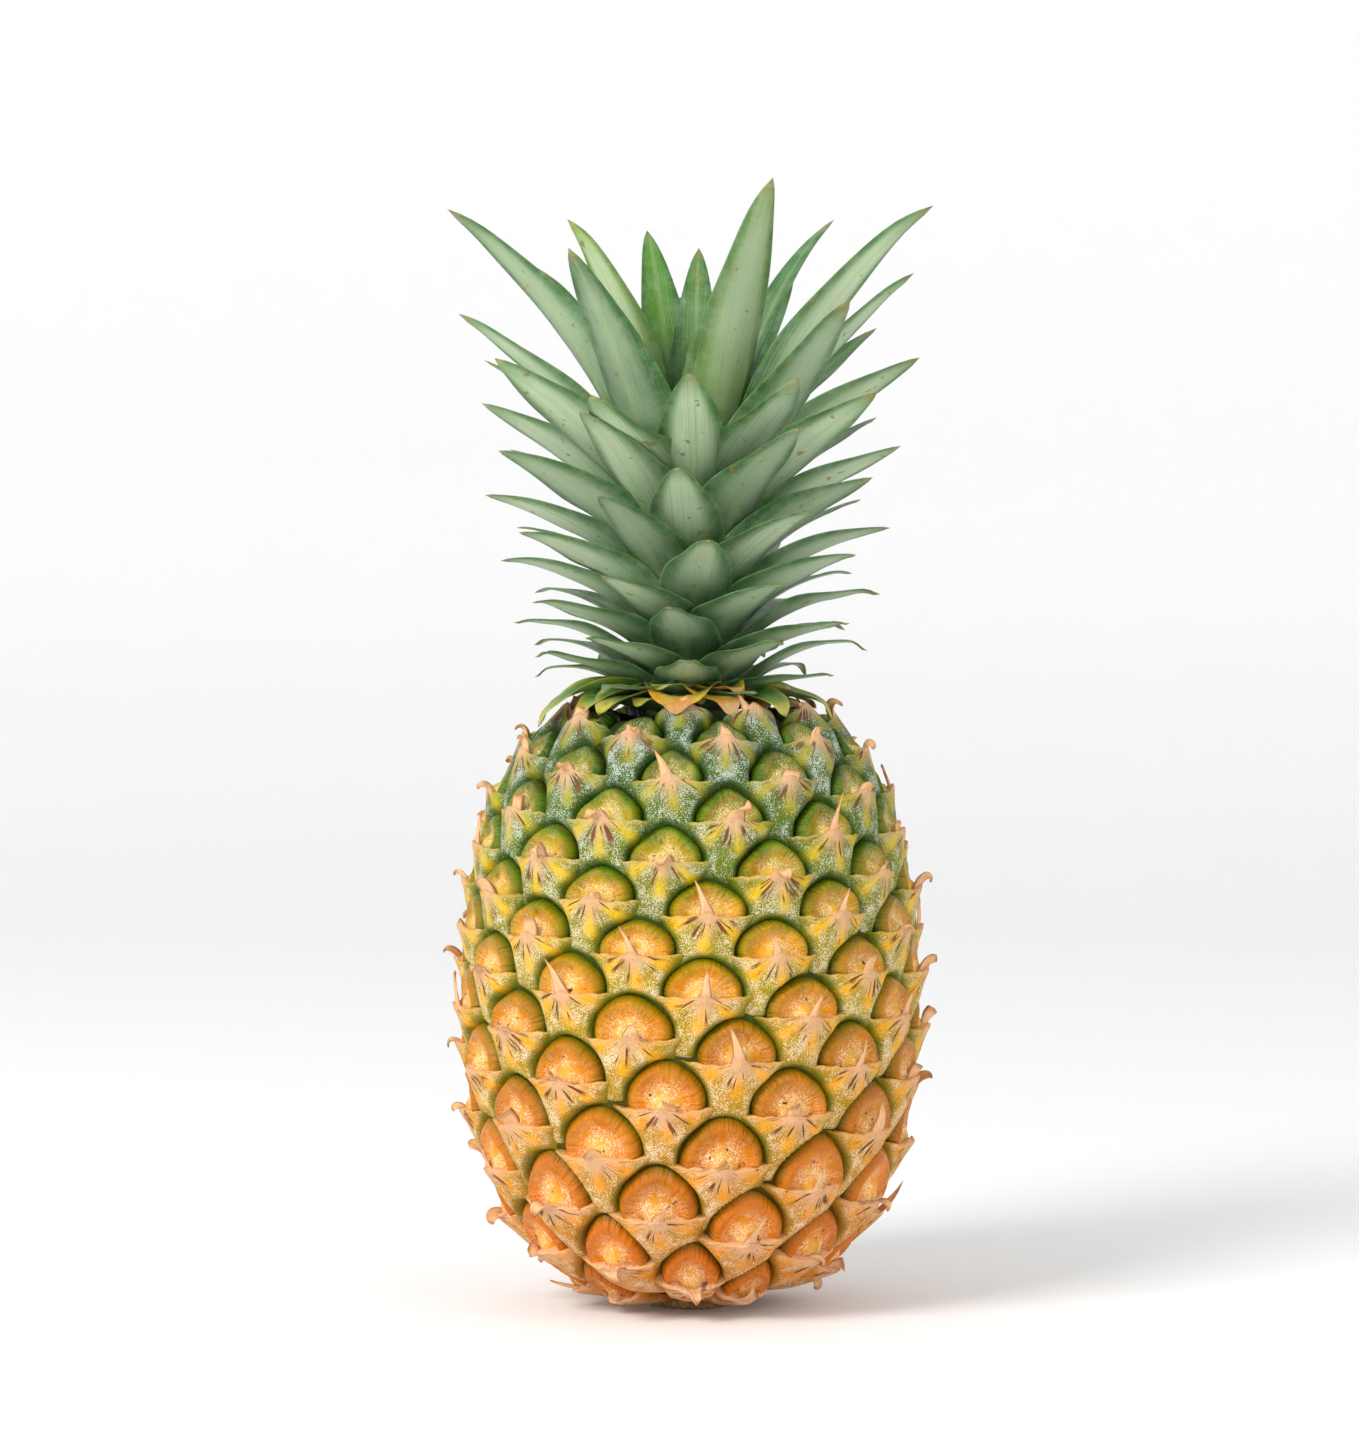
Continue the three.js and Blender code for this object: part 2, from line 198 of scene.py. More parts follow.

# waxy rind tissue, as it grew: a dull green skin, browner where the fruit is riper, darkened with painted
# shade of the grooves and mottled every 2 mm.
# A pattern's scale over MM counts its cells in a millimetre.
groove_skin, tree, shader = new_material("groove_skin_waxy_tissue")
place = add(tree, "TexCoord").outputs["Object"]
mottle = add(tree, "TexNoise", {"Vector": place, "Scale": 0.45 / MM, "Detail": 3.0}).outputs[0]
tint = add(tree, "Attribute", attribute_name="tint").outputs["Color"]
shade = add(tree, "Mix", {"Factor": mottle, 6: tint, 7: linear("#7C7A1C")}, data_type="RGBA")
faint = add(tree, "Mix", {"Factor": 0.25, 6: tint, 7: shade.outputs[2]}, data_type="RGBA")
tree.links.new(faint.outputs[2], shader.inputs["Base Color"])
shader.inputs["Roughness"].default_value = 0.85
shader.inputs["Specular IOR Level"].default_value = 0.2
rind_skin.data.materials.append(groove_skin)
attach(rind_skin, "root")
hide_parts("fruit")


# The eyes: each was one flower, and its dried face is a smooth waxy dome, deep orange round a pale mealy
# middle where the fruit is ripe and green at the shoulder. They stand on ten spirals that run down to the
# left, and grow in one body with the rind.

ROW_TURN = 36.0
EYE_TURN = 18.07
FIRST_AZIMUTH = -12.5
FIRST_EYE = 0.49
ROW_SHIFTS = (1.15, 1.03, 1.38, 1.05, 1.53, 1.17, 1.46, 1.41, 1.41, 1.41)
EYE_STEP = 10.15
EYE_GROWTH = 0.133
SMALLEST_EYE = 5.14
WAIST_EYE = 7.67
TOP_EYE = -0.75
LAST_EYE = 13.9
STEPS_TRIED = (-16, 18)
LARGEST_RISE = 16.0
FULL_RELIEF_RADIUS = 34.0
FLAT_SINK = 0.6
RIPENING_EYES = 14.5
SEED = 7
LUCKS = 12
WHOLE_TURN = 6.3

row_starts = FIRST_EYE + np.concatenate([[0], np.cumsum(ROW_SHIFTS)])[:-1]
rows, steps = np.meshgrid(np.arange(len(ROW_SHIFTS)), np.arange(*STEPS_TRIED), indexing="ij")
eye_place = (steps + row_starts[:, None]).ravel()
on_fruit = (eye_place > TOP_EYE) & (eye_place < LAST_EYE)
eye_place = eye_place[on_fruit]
eye_azimuth = (FIRST_AZIMUTH + ROW_TURN * rows.ravel()[on_fruit] - EYE_TURN * eye_place + 180) % 360 - 180
spread = ((eye_place - SMALLEST_EYE) ** 3 - (WAIST_EYE - SMALLEST_EYE) ** 3) / 3
eye_length = waist_length + EYE_STEP * (eye_place - WAIST_EYE) + EYE_GROWTH * spread
eye_radius = np.interp(eye_length, skin_length, skin_radius)
eye_rise = np.minimum(EYE_STEP + EYE_GROWTH * (eye_place - SMALLEST_EYE) ** 2, LARGEST_RISE)
eye_count = eye_place.size
chance = np.random.default_rng(SEED)
eye_luck = chance.random((eye_count, LUCKS))
relief = np.minimum(1.0, eye_radius / FULL_RELIEF_RADIUS)
eye_floor = (GROOVE_DEPTH * relief + FLAT_SINK * (1 - relief))[:, None, None]
ripeness = np.clip((eye_place + 1.0) / RIPENING_EYES + 0.06 * (eye_luck[:, 0] - 0.5), 0, 1)


def luck_of(entry):
    """One seeded number from 0 to 1 for each eye, shaped to spread over the eye's grid."""
    return eye_luck[:, entry, None, None]


def phase(entry):
    """A seeded start for a wave on each eye, up to a whole turn in radians."""
    return WHOLE_TURN * luck_of(entry)


def bell(value, middle, width):
    """A bump that is 1 in its middle and falls away as a normal curve on both sides."""
    return np.exp(-(((value - middle) / width) ** 2))


def beside_eye(across, up):
    """The azimuth and length of skin of points so many millimetres across and up from each eye's middle."""
    length = eye_length[:, None, None] - up
    turned = np.degrees(across / np.interp(length, skin_length, skin_radius))
    return eye_azimuth[:, None, None] + turned, length


DOME_HALF_WIDTH = 10.9
DOME_HEIGHT = 3.2
DOME_FOOT = 0.45
DOME_COLUMNS = 42
CREST_HEIGHT = 1.25
HOLLOW_DEPTH = 1.35
HEART_HEIGHT = 1.3
SWELL_HEIGHT = 0.5
TOP_LEAN = 0.6
LIP_SINK = 3.2
EDGE_SINK = 2.2

dome_half = DOME_HALF_WIDTH * np.minimum(1, eye_radius / 55) ** 0.95 * (0.97 + 0.06 * eye_luck[:, 1])
dome_half *= 1 + 0.018 * (eye_place - 7)
dome_rise = eye_rise * (0.93 + 0.08 * eye_luck[:, 2]) * (1 - 0.06 * smooth(eye_place, 8, 11))
dome_power = 1.65 + 0.5 * smooth(eye_place, 2, 7)


def dome_edge(turn, power):
    """How far the dome's outline is from the middle of the lip, in shares of its half width and height: a
    superellipse with a touch of five corners, the more peaked the lower its power."""
    round_edge = (np.abs(np.cos(turn)) ** power + np.abs(np.sin(turn)) ** power) ** (-1 / power)
    return round_edge * (1 + 0.028 * np.cos(5 * (turn - np.pi / 2)))


dome_rings = np.array([0, 0.14, 0.28, 0.42, 0.55, 0.66, 0.75, 0.82, 0.88, 0.93, 0.965, 0.99, 1.005, 1.03])
dome_turns = np.linspace(-np.pi / 2, 1.5 * np.pi, DOME_COLUMNS, endpoint=False)
ring, turn = np.meshgrid(dome_rings, dome_turns, indexing="ij")
wobble = 1 + 0.022 * np.sin(3 * turn + phase(3)) + 0.02 * np.sin(2 * turn + phase(4))
reach = dome_edge(turn, dome_power[:, None, None]) * ring * wobble
across = dome_half[:, None, None] * reach * np.cos(turn)
foot = np.where(np.sin(turn) < 0, DOME_FOOT, 1.0)
up = dome_rise[:, None, None] * reach * np.sin(turn) * foot
wall = np.sqrt(np.clip(1 - ring**5, 0, 1))
crest = CREST_HEIGHT * bell(ring, 0.8, 0.12) * (1 + 0.25 * np.sin(4 * turn + phase(5)))
hollow = HOLLOW_DEPTH * bell(ring, 0.46, 0.2)
heart = HEART_HEIGHT * bell(ring, 0, 0.22)
swell = SWELL_HEIGHT * (1 - ring**2)
lean = TOP_LEAN * up / dome_rise[:, None, None]
sunk = LIP_SINK * smooth(-ring * np.sin(turn), 0.2, 0.45) + EDGE_SINK * smooth(ring, 0.99, 1.03)
raised = (DOME_HEIGHT + crest - hollow + heart + swell - lean) * wall - sunk
raised = raised * (0.94 + 0.12 * luck_of(4)) * relief[:, None, None]
dome_points = on_skin(*beside_eye(across, up), raised - eye_floor)

EDGE_COLOURS = ("#22360F", "#3A5A0A", "#606806", "#7A6206", "#8E5A06")
RIM_COLOURS = ("#2C4614", "#547408", "#A07A04", "#B86E02", "#C86602")
GLOW_COLOURS = ("#466620", "#9A9010", "#D89404", "#DA8002", "#DE7A04")
FACE_COLOURS = ("#647C3A", "#B0A43A", "#E2AE3C", "#E2A240", "#E49A3A")

ripe = np.clip(ripeness[:, None, None] + 0.03 * np.sin(4 * turn + phase(5)), 0, 1)
ripe = np.clip(ripe - 0.2 * smooth(ring * np.sin(turn), 0.3, 1.0) * (1 - ripe), 0, 1)
zone = ring + 0.05 * np.sin(5 * turn + phase(7))
dome_tint = along(ripe, EDGE_COLOURS)
dome_tint = blend(dome_tint, along(ripe, RIM_COLOURS), 1 - smooth(ring, 0.86, 0.97))
dome_tint = blend(dome_tint, along(ripe, GLOW_COLOURS), 1 - smooth(zone, 0.6, 0.84))
dome_tint = blend(dome_tint, along(ripe, FACE_COLOURS), 1 - smooth(zone, 0.25, 0.55))
yolk = bell(ring, 0.16, 0.12) * (0.5 + 0.5 * np.sin(3 * turn + phase(8)))
dome_tint = blend(dome_tint, linear("#F0B21E"), 0.85 * yolk * smooth(ripe, 0.02, 0.2))
# painted shade: the dome's outermost edge darkens to the groove colour where it dips into the groove
dome_tint = blend(dome_tint, along(ripe, GROOVE_SHADE_COLOURS), smooth(ring, 0.975, 1.0))
dome_tint[..., :3] *= 1.08 - 0.22 * luck_of(9)[..., None]
ring_map = vectors(ring, turn, luck_of(6))
eye_domes = grid_piece("eye_domes", dome_points, ring=True, poles=(0,), tint=dome_tint, eye=ring_map)

PULP_SCATTER = (2 * MM, MM, 0.3 * MM)

# waxy cuticle over pulp, dried where the flower was: glossy and pleated at the rim, mealy in the middle with
# pale specks of 0.4 mm and brown freckles of 1 mm
dome_skin, tree, shader = new_material("eye_dome_waxy_cuticle")
place = add(tree, "TexCoord").outputs["Object"]
tint = add(tree, "Attribute", attribute_name="tint").outputs["Color"]
eye_map = add(tree, "Attribute", attribute_name="eye").outputs["Vector"]
parts = add(tree, "SeparateXYZ", {0: eye_map}).outputs
middle = add(tree, "MapRange", {0: parts[0], 1: 0.78, 2: 0.42, 3: 0.0, 4: 1.0}).outputs[0]
meal = add(
    tree, "TexNoise", {"Vector": place, "Scale": 2.3 / MM, "Detail": 2.0, "Roughness": 0.6}).outputs[0]
patch = add(tree, "TexNoise", {"Vector": place, "Scale": 0.3 / MM, "Detail": 2.0}).outputs[0]
speck = add(tree, "MapRange", {0: meal, 1: 0.48, 2: 0.57}).outputs[0]
patchy = add(tree, "MapRange", {0: patch, 1: 0.36, 2: 0.52}).outputs[0]
pale = add(tree, "Math", {0: speck, 1: patchy}, operation="MULTIPLY").outputs[0]
pale = add(tree, "Math", {0: pale, 1: middle}, operation="MULTIPLY").outputs[0]
pale = add(tree, "Math", {0: pale, 1: 0.72}, operation="MULTIPLY").outputs[0]
mealy = add(tree, "Mix", {"Factor": pale, 6: tint, 7: linear("#F8E2BE")}, data_type="RGBA").outputs[2]
arc_scale = add(tree, "VectorMath", {0: eye_map, 1: (7.0, 1.1, 60.0)}, operation="MULTIPLY").outputs[0]
arcs = add(
    tree, "TexNoise", {"Vector": arc_scale, "Scale": 1.0, "Detail": 4.0, "Roughness": 0.6}).outputs[0]
arc_line = add(tree, "MapRange", {0: arcs, 1: 0.53, 2: 0.64}).outputs[0]
arc_line = add(tree, "Math", {0: arc_line, 1: 0.22}, operation="MULTIPLY").outputs[0]
lined = add(tree, "Mix", {"Factor": arc_line, 6: mealy, 7: linear("#A8691C")}, data_type="RGBA").outputs[2]
freckle_noise = add(tree, "TexNoise", {"Vector": place, "Scale": 0.43 / MM, "Detail": 2.0}).outputs[0]
freckle = add(tree, "MapRange", {0: freckle_noise, 1: 0.67, 2: 0.71}).outputs[0]
freckle = add(tree, "Math", {0: freckle, 1: middle}, operation="MULTIPLY").outputs[0]
freckled = add(
    tree, "Mix", {"Factor": freckle, 6: lined, 7: linear("#5E3B1C")}, data_type="RGBA").outputs[2]
tree.links.new(freckled, shader.inputs["Base Color"])
pleat_scale = add(tree, "VectorMath", {0: eye_map, 1: (1.5, 7.0, 40.0)}, operation="MULTIPLY").outputs[0]
pleats = add(tree, "TexNoise", {"Vector": pleat_scale, "Scale": 1.0, "Detail": 2.0}).outputs[0]
at_rim = add(tree, "MapRange", {0: middle, 1: 0.0, 2: 1.0, 3: 1.0, 4: 0.15}).outputs[0]
pleats = add(tree, "Math", {0: pleats, 1: at_rim}, operation="MULTIPLY").outputs[0]
fine = add(tree, "Math", {0: meal, 1: 0.14}, operation="MULTIPLY").outputs[0]
height = add(tree, "Math", {0: pleats, 1: fine}, operation="ADD").outputs[0]
bump = add(tree, "Bump", {"Height": height, "Strength": 0.9, "Distance": 1.6 * MM}).outputs[0]
tree.links.new(bump, shader.inputs["Normal"])
rough = add(tree, "MapRange", {0: middle, 1: 0.0, 2: 1.0, 3: 0.25, 4: 0.7}).outputs[0]
tree.links.new(rough, shader.inputs["Roughness"])
shader.inputs["Specular IOR Level"].default_value = 0.24
shader.inputs["Subsurface Weight"].default_value = 0.08
shader.inputs["Subsurface Radius"].default_value = PULP_SCATTER
eye_domes.data.materials.append(dome_skin)
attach(eye_domes, "root")
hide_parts("fruit")


# The bracts: below each dome grows a small leaf whose fleshy lower part is a shield with a straight free lip
# and two pointed wings, frosted white over yellow and green, split by a few short corky cracks.

BRACT_HALF_WIDTH = 1.36
BRACT_DROP = 1.5
LIP_HEIGHT = 4.2
LIP_EDGE_HEIGHT = 0.5
BODY_ROWS = 20
BRACT_COLUMNS = 37
KEEL_HEIGHT = 1.2
KEEL_WIDTH = 3.0
BOSS_HEIGHT = 0.8
FOLD_HEIGHT = 0.35
BURIED_DEPTH = 0.5
FAR = 9.0

# how far up and out the rows round the free lip lie, from the back of its edge over to the front
lip_rows = np.array([[0.0, -4.2], [0.2, -2.0], [0.38, -0.9], [0.36, -0.3], [0.2, 0.0], [0.0, -0.12]])
body_rows = np.linspace(0.0, 1.0, BODY_ROWS)[1:] ** 1.15
fall = np.concatenate([np.zeros(len(lip_rows)), body_rows])[:, None]
lip_up, lip_out = np.pad(lip_rows, ((0, len(body_rows)), (0, 0))).T[..., None]
side = np.linspace(-1, 1, BRACT_COLUMNS)
side = (np.sign(side) * np.abs(side) ** 0.85)[None, :]
wave = 0.3 * np.sin(5 * side + phase(7)) * (1 - side**2)
wave = wave + 0.16 * np.sin(23 * side + phase(9)) * smooth(-fall, -0.1, 0)
wing = (BRACT_HALF_WIDTH * dome_half * (1 + 0.12 * (1 - smooth(eye_place, 1, 5))))[:, None, None]
across = side * wing * (1 - 0.2 * (1 - np.exp(-fall / 0.12)) - 0.14 * fall)
sag = 1.1 * bell(across, 0, 2.2) - 0.7 * (1 - np.abs(side) ** 1.6)
up = lip_up + wave + sag - fall * (BRACT_DROP * eye_rise)[:, None, None]
lip_line = LIP_HEIGHT * np.clip(1 - np.abs(side) ** 2.8, 0, 1) ** 0.6 + LIP_EDGE_HEIGHT
keel = KEEL_HEIGHT * bell(across, 0, KEEL_WIDTH) * (1 - fall) ** 0.7
boss = BOSS_HEIGHT * bell(across, 0, KEEL_WIDTH) * bell(fall, 0, 0.16)
fold = FOLD_HEIGHT * bell(np.abs(across), 5.5, 1.6) * (1 - fall)
flank = smooth(np.abs(side), 0.62, 1.0) * smooth(fall, 0.0, 0.3)
raised = (lip_line * (1 - fall) ** 0.6 + keel + boss + fold) * (1 - 0.55 * flank) + lip_out
azimuth, length = beside_eye(across, up)


def groove_clearance(azimuth, length):
    """Least distance in millimetres from each point of each bract to the outline of any dome but its own:
    the point's polar place on that dome, less the outline there."""
    nearest = np.full(azimuth.shape, FAR)
    radius = np.interp(length, skin_length, skin_radius)
    for eye in range(eye_count):
        turned = (azimuth - eye_azimuth[eye] + 180) % 360 - 180
        x = np.radians(turned) * radius / dome_half[eye]
        y = (eye_length[eye] - length) / dome_rise[eye]
        y = np.where(y < 0, y / DOME_FOOT, y)
        distance = (np.hypot(x, y) / dome_edge(np.arctan2(y, x), dome_power[eye]) - 1) * dome_half[eye]
        distance[eye] = FAR
        nearest = np.minimum(nearest, distance)
    return nearest


clearance = groove_clearance(azimuth, length)
clear = smooth(clearance, -0.5, 1.1)
raised = (raised * clear - BURIED_DEPTH * (1 - clear)) * relief[:, None, None]
bract_points = on_skin(azimuth, length, raised - eye_floor)

FROST_COLOURS = ("#26441A", "#566A10", "#A68C0A", "#BA820E", "#CC7C22")
MARGIN_COLOURS = ("#1D3812", "#38580A", "#6A7608", "#8C7608", "#B46A0E")
# lighter yellow-orange tints, from green to ripe, for the painted highlight along the bract's free lip
LIP_HIGHLIGHT_COLOURS = ("#727E3C", "#AE9C34", "#DAA43A", "#E4A45A", "#E6A86E")
YELLOW_COLOURS = ("#B0AE2C", "#E0C018", "#F0AE08", "#EE9A0C", "#E88A1C")

ripe = np.broadcast_to(ripeness[:, None, None], across.shape)
margin = along(ripe, MARGIN_COLOURS)
wing_share = smooth(np.abs(side), 0.7, 1.0) * (1 - smooth(fall, 0.2, 0.6))
below = np.hypot(across, up - 1.0)
fan = np.arctan2(across, 1.0 - up)
streak = np.abs(np.cos(3.0 * fan + 1.2 * (luck_of(8) - 0.5))) ** 5
streak = streak * smooth(below, 1.5, 3.0) * (1 - smooth(below, 7.0 + 3 * luck_of(1), 12.0))
# painted highlight: a band along the free lip is tinted lighter, and the pink heart and the frost follow it
lip_highlight = bell(fall, 0, 0.05) * (1 - smooth(np.abs(side), 0.6, 1.0))
heart_width = 3.0 + 2.0 * lip_highlight + 1.6 * smooth(ripe, 0.5, 0.9)
heart = bell(across, 0, heart_width) * bell(up, -0.8, 3.6)

bract_tint = blend(along(ripe, FROST_COLOURS), margin, 1 - smooth(clearance, 0.3, 2.5))
bract_tint = blend(bract_tint, margin, 0.6 * smooth(flank, 0.3, 0.9))
bract_tint = blend(bract_tint, margin, 0.75 * wing_share)
bract_tint = blend(bract_tint, along(ripe, YELLOW_COLOURS), (0.5 + 0.45 * smooth(ripe, 0.1, 0.45)) * streak)
bract_tint = blend(bract_tint, along(ripe, LIP_HIGHLIGHT_COLOURS), 0.8 * lip_highlight)
bract_tint = blend(bract_tint, linear("#E2B08A"), 0.9 * heart)
# painted shade: where the bract meets another dome it darkens to the groove colour
bract_tint = blend(bract_tint, along(ripe, GROOVE_SHADE_COLOURS), 1 - smooth(clearance, -0.4, 0.5))
frost = smooth(clearance, 0.3, 2.0) * (1 - 0.7 * smooth(flank, 0.3, 0.9)) * (1 - 0.85 * streak)
frost = frost * (1 - wing_share) * (1 - heart) * (1 - 0.6 * lip_highlight)
fan_map, cover_map = vectors(fan, below, luck_of(9)), vectors(frost, fall, ripe)
bracts = grid_piece("bracts", bract_points, tint=bract_tint, fan=fan_map, cover=cover_map)

# fleshy leaf, grown under a white mealy bloom, with corky grey-brown cracks that run out from the tip. The
# bloom's grains of about 0.1 mm are drawn 0.3 mm wide so that they show.
bract_skin, tree, shader = new_material("bract_frosted_leaf")
place = add(tree, "TexCoord").outputs["Object"]
tint = add(tree, "Attribute", attribute_name="tint").outputs["Color"]
fan_vector = add(tree, "Attribute", attribute_name="fan").outputs["Vector"]
cover_vector = add(tree, "Attribute", attribute_name="cover").outputs["Vector"]
cover = add(tree, "SeparateXYZ", {0: cover_vector}).outputs
grain = add(
    tree, "TexNoise", {"Vector": place, "Scale": 2.9 / MM, "Detail": 1.5, "Roughness": 0.7}).outputs[0]
drift = add(tree, "TexNoise", {"Vector": place, "Scale": 0.26 / MM, "Detail": 2.0}).outputs[0]
drift = add(tree, "Math", {0: drift, 1: 0.45}, operation="MULTIPLY").outputs[0]
level = add(tree, "Math", {0: grain, 1: drift}, operation="ADD").outputs[0]
grains = add(tree, "MapRange", {0: level, 1: 0.73, 2: 0.81}).outputs[0]
white = add(tree, "Math", {0: grains, 1: cover[0]}, operation="MULTIPLY").outputs[0]
white = add(tree, "Math", {0: white, 1: 0.72}, operation="MULTIPLY").outputs[0]
bloom_ripe = add(tree, "MapRange", {0: cover[2], 1: 0.1, 2: 0.5}).outputs[0]
bloom = add(
    tree, "Mix", {"Factor": bloom_ripe, 6: linear("#CBD6C8"), 7: linear("#F4E2C2")},
    data_type="RGBA").outputs[2]
dusted = add(tree, "Mix", {"Factor": white, 6: tint, 7: bloom}, data_type="RGBA").outputs[2]
dark_grain = add(tree, "MapRange", {0: level, 1: 0.66, 2: 0.56}).outputs[0]
dark_grain = add(tree, "Math", {0: dark_grain, 1: 0.35}, operation="MULTIPLY").outputs[0]
dusted = add(
    tree, "Mix", {"Factor": dark_grain, 6: dusted, 7: linear("#6C7A0C")}, data_type="RGBA").outputs[2]
fan_parts = add(tree, "SeparateXYZ", {0: fan_vector}).outputs
crack_place = add(tree, "VectorMath", {0: fan_vector, 1: (6.5, 0.1, 90.0)}, operation="MULTIPLY").outputs[0]
crack_noise = add(tree, "TexNoise", {"Vector": crack_place, "Scale": 1.0, "Detail": 2.5}).outputs[0]
crack = add(tree, "MapRange", {0: crack_noise, 1: 0.585, 2: 0.62}).outputs[0]
crack_from = add(tree, "MapRange", {0: fan_parts[1], 1: 2.8, 2: 3.6}).outputs[0]
crack_to = add(tree, "MapRange", {0: fan_parts[1], 1: 9.0, 2: 7.0}).outputs[0]
fan_width = add(tree, "Math", {0: fan_parts[0]}, operation="ABSOLUTE").outputs[0]
crack_side = add(tree, "MapRange", {0: fan_width, 1: 1.45, 2: 1.2}).outputs[0]
crack_to = add(tree, "Math", {0: crack_to, 1: crack_side}, operation="MULTIPLY").outputs[0]
crack = add(tree, "Math", {0: crack, 1: crack_from}, operation="MULTIPLY").outputs[0]
crack = add(tree, "Math", {0: crack, 1: crack_to}, operation="MULTIPLY").outputs[0]
cracked = add(tree, "Mix", {"Factor": crack, 6: dusted, 7: linear("#74462F")}, data_type="RGBA").outputs[2]
tree.links.new(cracked, shader.inputs["Base Color"])
veins = add(tree, "VectorMath", {0: fan_vector, 1: (9.0, 0.3, 50.0)}, operation="MULTIPLY").outputs[0]
vein_noise = add(tree, "TexNoise", {"Vector": veins, "Scale": 1.0, "Detail": 2.0}).outputs[0]
relief_sum = add(tree, "Math", {0: vein_noise, 1: crack}, operation="SUBTRACT").outputs[0]
grain_low = add(tree, "Math", {0: grain, 1: 0.25}, operation="MULTIPLY").outputs[0]
relief_sum = add(tree, "Math", {0: relief_sum, 1: grain_low}, operation="ADD").outputs[0]
bump = add(tree, "Bump", {"Height": relief_sum, "Strength": 0.6, "Distance": 0.9 * MM}).outputs[0]
tree.links.new(bump, shader.inputs["Normal"])
shader.inputs["Roughness"].default_value = 0.62
shader.inputs["Specular IOR Level"].default_value = 0.12
shader.inputs["Subsurface Weight"].default_value = 0.05
shader.inputs["Subsurface Radius"].default_value = PULP_SCATTER
bracts.data.materials.append(bract_skin)
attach(bracts, "root")
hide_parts("fruit")


# The bract tips: the dry papery end of each bract, pink-beige and paper-thin. Some stand up over the dome to
# a fine point, some curl over forwards, and some have broken off short.

TIP_ROWS = 18
TIP_COLUMNS = 7
TIP_THICKNESS = 0.16
TIP_ROOT = 3.2
TIP_SINK = 2.6
TIP_LIFT = 2.5
TIP_REACH = 2.6
BROKEN_SHARE = 0.34
CURLED_SHARE = 0.74
TIP_STOPS = (0, 0.3, 0.8, 1.0)
TIP_COLOURS = ("#DCA482", "#E2AE84", "#E8B880", "#A8682F")

share = np.linspace(0, 1, TIP_ROWS)[None, :]
kind = eye_luck[:, 10, None]
broken, curled = kind < BROKEN_SHARE, (kind >= BROKEN_SHARE) & (kind < CURLED_SHARE)


def by_kind(torn, flap, upright):
    """What each tip takes: one value if it broke off, one if it curls over, and one if it stands."""
    return np.where(broken, torn, np.where(curled, flap, upright))


def run_along(rate):
    """How far each tip has gone at each row, from its rate there: a running sum that starts from nothing."""
    step = tip_length / (TIP_ROWS - 1)
    return np.concatenate([np.zeros((eye_count, 1)), np.cumsum(rate[:, 1:] * step, axis=1)], axis=1)


tip_scale = np.minimum(1, relief[:, None] + 0.15)
tip_length = (by_kind(3.0, 5.0, 8.0) + TIP_ROOT + 4.5 * (eye_luck[:, 11, None] - 0.3)) * tip_scale
curl_turn = by_kind(40, 95 + 120 * eye_luck[:, 4, None], 24 * eye_luck[:, 4, None] - 14)
bend = np.radians(30 * bell(share, 0, 0.24) + 3 + 9 * eye_luck[:, 3, None])
bend = bend + np.radians(curl_turn) * share**2.2
rise = run_along(np.cos(bend)) - TIP_ROOT
stand = run_along(np.sin(bend)) - TIP_SINK
stand = np.where(stand > 0, TIP_REACH * np.tanh(stand / TIP_REACH), stand)
sway = (eye_luck[:, 5, None] - 0.5) * 0.9 * tip_length * share**2
upright_half = 2.0 * np.exp(-share / 0.2) + 2.3 * np.clip(1 - share, 0.02, 1) ** 0.9
flap_half = 1.6 * np.exp(-share / 0.13) + 3.4 * np.clip(1 - share, 0.03, 1) ** 0.55
torn_half = 1.6 * np.exp(-share / 0.13) + 3.0 * (1 - 0.3 * share)
half = by_kind(torn_half, flap_half, upright_half) * (0.85 + 0.3 * eye_luck[:, 2, None]) * tip_scale
twist = (eye_luck[:, 6, None] - 0.5) * 3.2 * share**1.5

# round each row of a tip goes a thin loop, out over its front and back over its rear
section = np.linspace(-1, 1, TIP_COLUMNS)
loop_side = np.concatenate([section, section[-2:0:-1]])
loop_face = np.concatenate([np.ones(TIP_COLUMNS), -np.ones(TIP_COLUMNS - 2)])
loop_out = loop_face * np.sqrt(1 - loop_side**2 * 0.96) * TIP_THICKNESS
share, half, bend, twist = share[..., None], half[..., None], bend[..., None], twist[..., None]
tear = 0.9 * np.sin(9 * loop_side + phase(7)) * (broken + 0.3 * curled)[..., None]
crease = 0.25 * np.sin(8 * share + 5 * loop_side + phase(9))
flat = half * loop_side
dished = loop_out - 0.4 * half * loop_side**2 + crease * share
face_shift = flat * np.sin(twist) + dished * np.cos(twist)
across = sway[..., None] + flat * np.cos(twist) - dished * np.sin(twist)
up = rise[..., None] - face_shift * np.sin(bend) + tear * (share > 0.97)
out = stand[..., None] + face_shift * np.cos(bend) + (LIP_HEIGHT + TIP_LIFT) * relief[:, None, None]
tip_points = on_skin(*beside_eye(across, up), out - eye_floor)[:, ::-1]
tip_points[:, [0, -1]] = tip_points[:, [0, -1]].mean(axis=2, keepdims=True)

tip_tint = along(share[:, ::-1], TIP_COLOURS, TIP_STOPS)
tip_tint = blend(tip_tint, linear("#C08A63"), 0.5 * smooth(np.abs(loop_side), 0.7, 1.0))
tip_map = vectors(flat[:, ::-1], share[:, ::-1] * tip_length[..., None], luck_of(8))
bract_tips = grid_piece("bract_tips", tip_points, ring=True, poles=(0, -1), tint=tip_tint, grainmap=tip_map)

